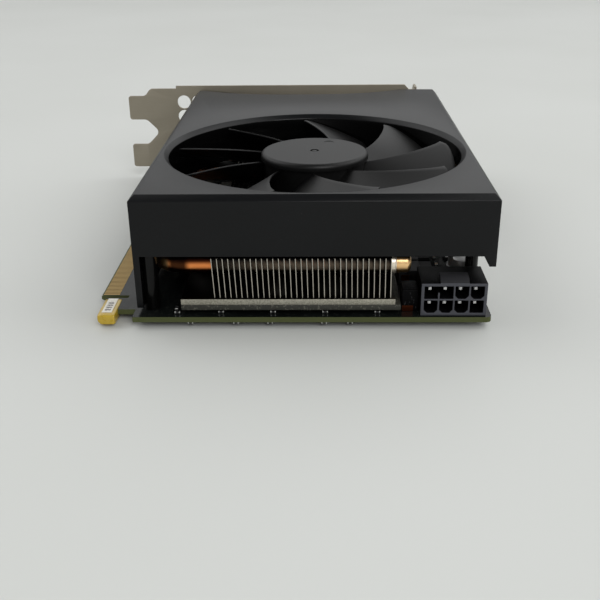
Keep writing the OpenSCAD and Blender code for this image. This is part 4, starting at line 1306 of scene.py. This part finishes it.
finger_row = [(capacitor, 11, 16 + 4 * i, -board_t, 0) for i in range(17)]
memory_row = [(resistor, 32 + 3 * i, y, -board_t, across) for i in range(18) for y in (38, 90)]
stage_row = [(capacitor, x, y, -board_t, across) for x in (92, 96, 100, 104) for y in stage_rows]
edge_row = [(resistor, x, 0.9, -board_t, 0) for x in (27.9, 40.6, 50.1, 65.1, 72.3)]
lay("solder_side_rows", finger_row + memory_row + stage_row + edge_row)
bpy.data.objects.remove(capacitor)
bpy.data.objects.remove(resistor)

# %% [markdown]
# ## Solder joints
#
# Pins go through the board, and on the solder side each has a small cone of solder, hollow where it wets
# the pad. A cone with its top pulled in by an inset and its flank smoothed is enough at this size. The
# joints are copied from one and stand under the pins of the power header, the fan header and the legs of
# the ports.


# %% Joints
def joint(name, foot_r, tip_r, height):
    """Cone of solder on z = 0 with a round tip, sizes in millimetres."""
    bpy.ops.object.select_all(action="DESELECT")
    bpy.ops.mesh.primitive_cone_add(
        vertices=16,
        radius1=foot_r / 1000,
        radius2=tip_r / 1000,
        depth=height / 1000,
        location=(0, 0, height / 2000),
    )
    cone = bpy.context.object
    cone.name = name
    bpy.ops.object.transform_apply(location=True)
    pick(cone, "FACE", lambda point: point.z > height / 2000)
    bpy.ops.mesh.inset(thickness=tip_r / 4000)
    bpy.ops.transform.translate(value=(0, 0, tip_r / 5000))
    bpy.ops.object.mode_set(mode="OBJECT")
    bpy.ops.object.shade_smooth_by_angle(angle=math.radians(60))
    cone.data.materials.append(solder)
    return cone


pin_joint = joint("pin_joint_pattern", 1.25, 0.75, 0.9)
small_joint = joint("small_joint_pattern", 0.75, 0.42, 0.6)
header_x = [94.3 + 4.2 * i for i in range(4)]
header_joints = [(pin_joint, x, y, -board_t, 0) for x in header_x for y in (14.6, 17.2)]
lay("header_joints", header_joints)
port_x = [26.35 + 20.5 * i for i in range(4)]
leg_x = [x + side for x in port_x for side in (-6.9, 6.9)]
leg_joints = [(pin_joint, x, y, -board_t, 0) for x in leg_x for y in (134, 141)]
row_joints = [
    (small_joint, x - 4.5 + i, 132.4 + 1.2 * (i % 2), -board_t, 0)
    for x in port_x
    for i in range(10)
]
fan_joints = [(small_joint, 104.55 + 2.54 * (i - 1.5), 92.4, -board_t, 0) for i in range(4)]
lay("port_joints", leg_joints + row_joints + fan_joints)
bpy.data.objects.remove(pin_joint)
bpy.data.objects.remove(small_joint)

# %% [markdown]
# ## Contacts in the ports and straps on the chokes
#
# A plug slides over a tongue with a row of gilt springs on both sides, and a choke's winding ends in two
# flat copper straps that run down its sides to the board. Both are strips: a thin block with a bevelled
# front edge. They are modelled once at their size and copied, because a pattern in the material would have
# no thickness where the light grazes it.


# %% Strips
def strip(name, size, material):
    """Thin block of size in millimetres about x = y = 0, standing on z = 0, with round edges."""
    bpy.ops.object.select_all(action="DESELECT")
    bpy.ops.mesh.primitive_cube_add(size=1, location=(0, 0, size[2] / 2000))
    block = bpy.context.object
    block.name = name
    block.scale = [value / 1000 for value in size]
    bpy.ops.object.transform_apply(location=True, scale=True)
    round_edges(block, 0.3 * min(size), 1)
    block.data.materials.append(material)
    return block


contact = strip("contact_pattern", (0.45, 6.6, 0.07), gold)
tongue_top = [3.25, 3.35, 3.35, 3.35]
tongue_t = 1.27
contact_step = [0.95, 1.15, 1.15, 1.15]
port_contacts = [
    (contact, x + (i - 4.5) * step, 143.2, z, 0)
    for x, step, top in zip(port_x, contact_step, tongue_top)
    for i in range(10)
    for z in (top, top - tongue_t)
]
lay("port_contacts", port_contacts)
bpy.data.objects.remove(contact)

strap = strip("strap_pattern", (2.4, 0.3, 3.1), copper)
choke_x = 90.69
straps = [(strap, choke_x + 1.4 * side, y + 4.15 * side, 0, 0) for y in stage_rows for side in (-1, 1)]
foot = strip("foot_pattern", (3.2, 0.3, 1.75), copper)
lay("choke_straps", straps + [(foot, 88.3, 3.85, 0, 0)])
bpy.data.objects.remove(strap)
bpy.data.objects.remove(foot)

# %% [markdown]
# ## Tape around the hook
#
# The film goes over the top of the hook, round its tip and back under it, and its sides are pinched shut.
# So it looks like a small crumpled pillow. A block is cut at the corner where the film is folded in, its
# edges are rounded and its faces divided, and a slow cloud texture pushes the points in and out. A
# simulated sheet would take longer to tame.

# %% Tape
tape_low, tape_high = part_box("hook_tape")
bpy.ops.object.select_all(action="DESELECT")
bpy.ops.mesh.primitive_cube_add(size=1, location=(tape_low + tape_high) / 2)
tape = bpy.context.object
tape.name = "tape_fold"
room = 0.0001
tape.scale = (tape_high - tape_low) - Vector((room, room, room))
bpy.ops.object.transform_apply(location=True, scale=True)
folds = [
    ((tape_low.x, tape_low.y, tape_low.z + 0.0011), (-1.1, -0.5, -1)),
    ((tape_high.x - 0.0005, tape_low.y, tape_low.z), (1, -0.5, -0.3)),
    ((tape_low.x, tape_low.y, tape_high.z - 0.0004), (0, -0.6, 1)),
]
for place, outward in folds:
    pick(tape, "FACE", lambda point: True)
    bpy.ops.mesh.bisect(plane_co=place, plane_no=outward, use_fill=True, clear_outer=True)
    bpy.ops.object.mode_set(mode="OBJECT")
round_edges(tape, 0.3, 3, 20)
bpy.ops.object.mode_set(mode="EDIT")
bpy.ops.mesh.select_all(action="SELECT")
bpy.ops.mesh.quads_convert_to_tris()
bpy.ops.mesh.subdivide(number_cuts=4)
bpy.ops.object.mode_set(mode="OBJECT")
cloud = bpy.data.textures.new("tape_cloud", "CLOUDS")
cloud.noise_scale = 0.0016
crumple = tape.modifiers.new("crumple", "DISPLACE")
crumple.texture = cloud
crumple.strength = 0.00022
apply_modifiers(tape)
bpy.ops.object.shade_smooth()
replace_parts(tape, "hook_tape")
settle(tape, yellow_tape)
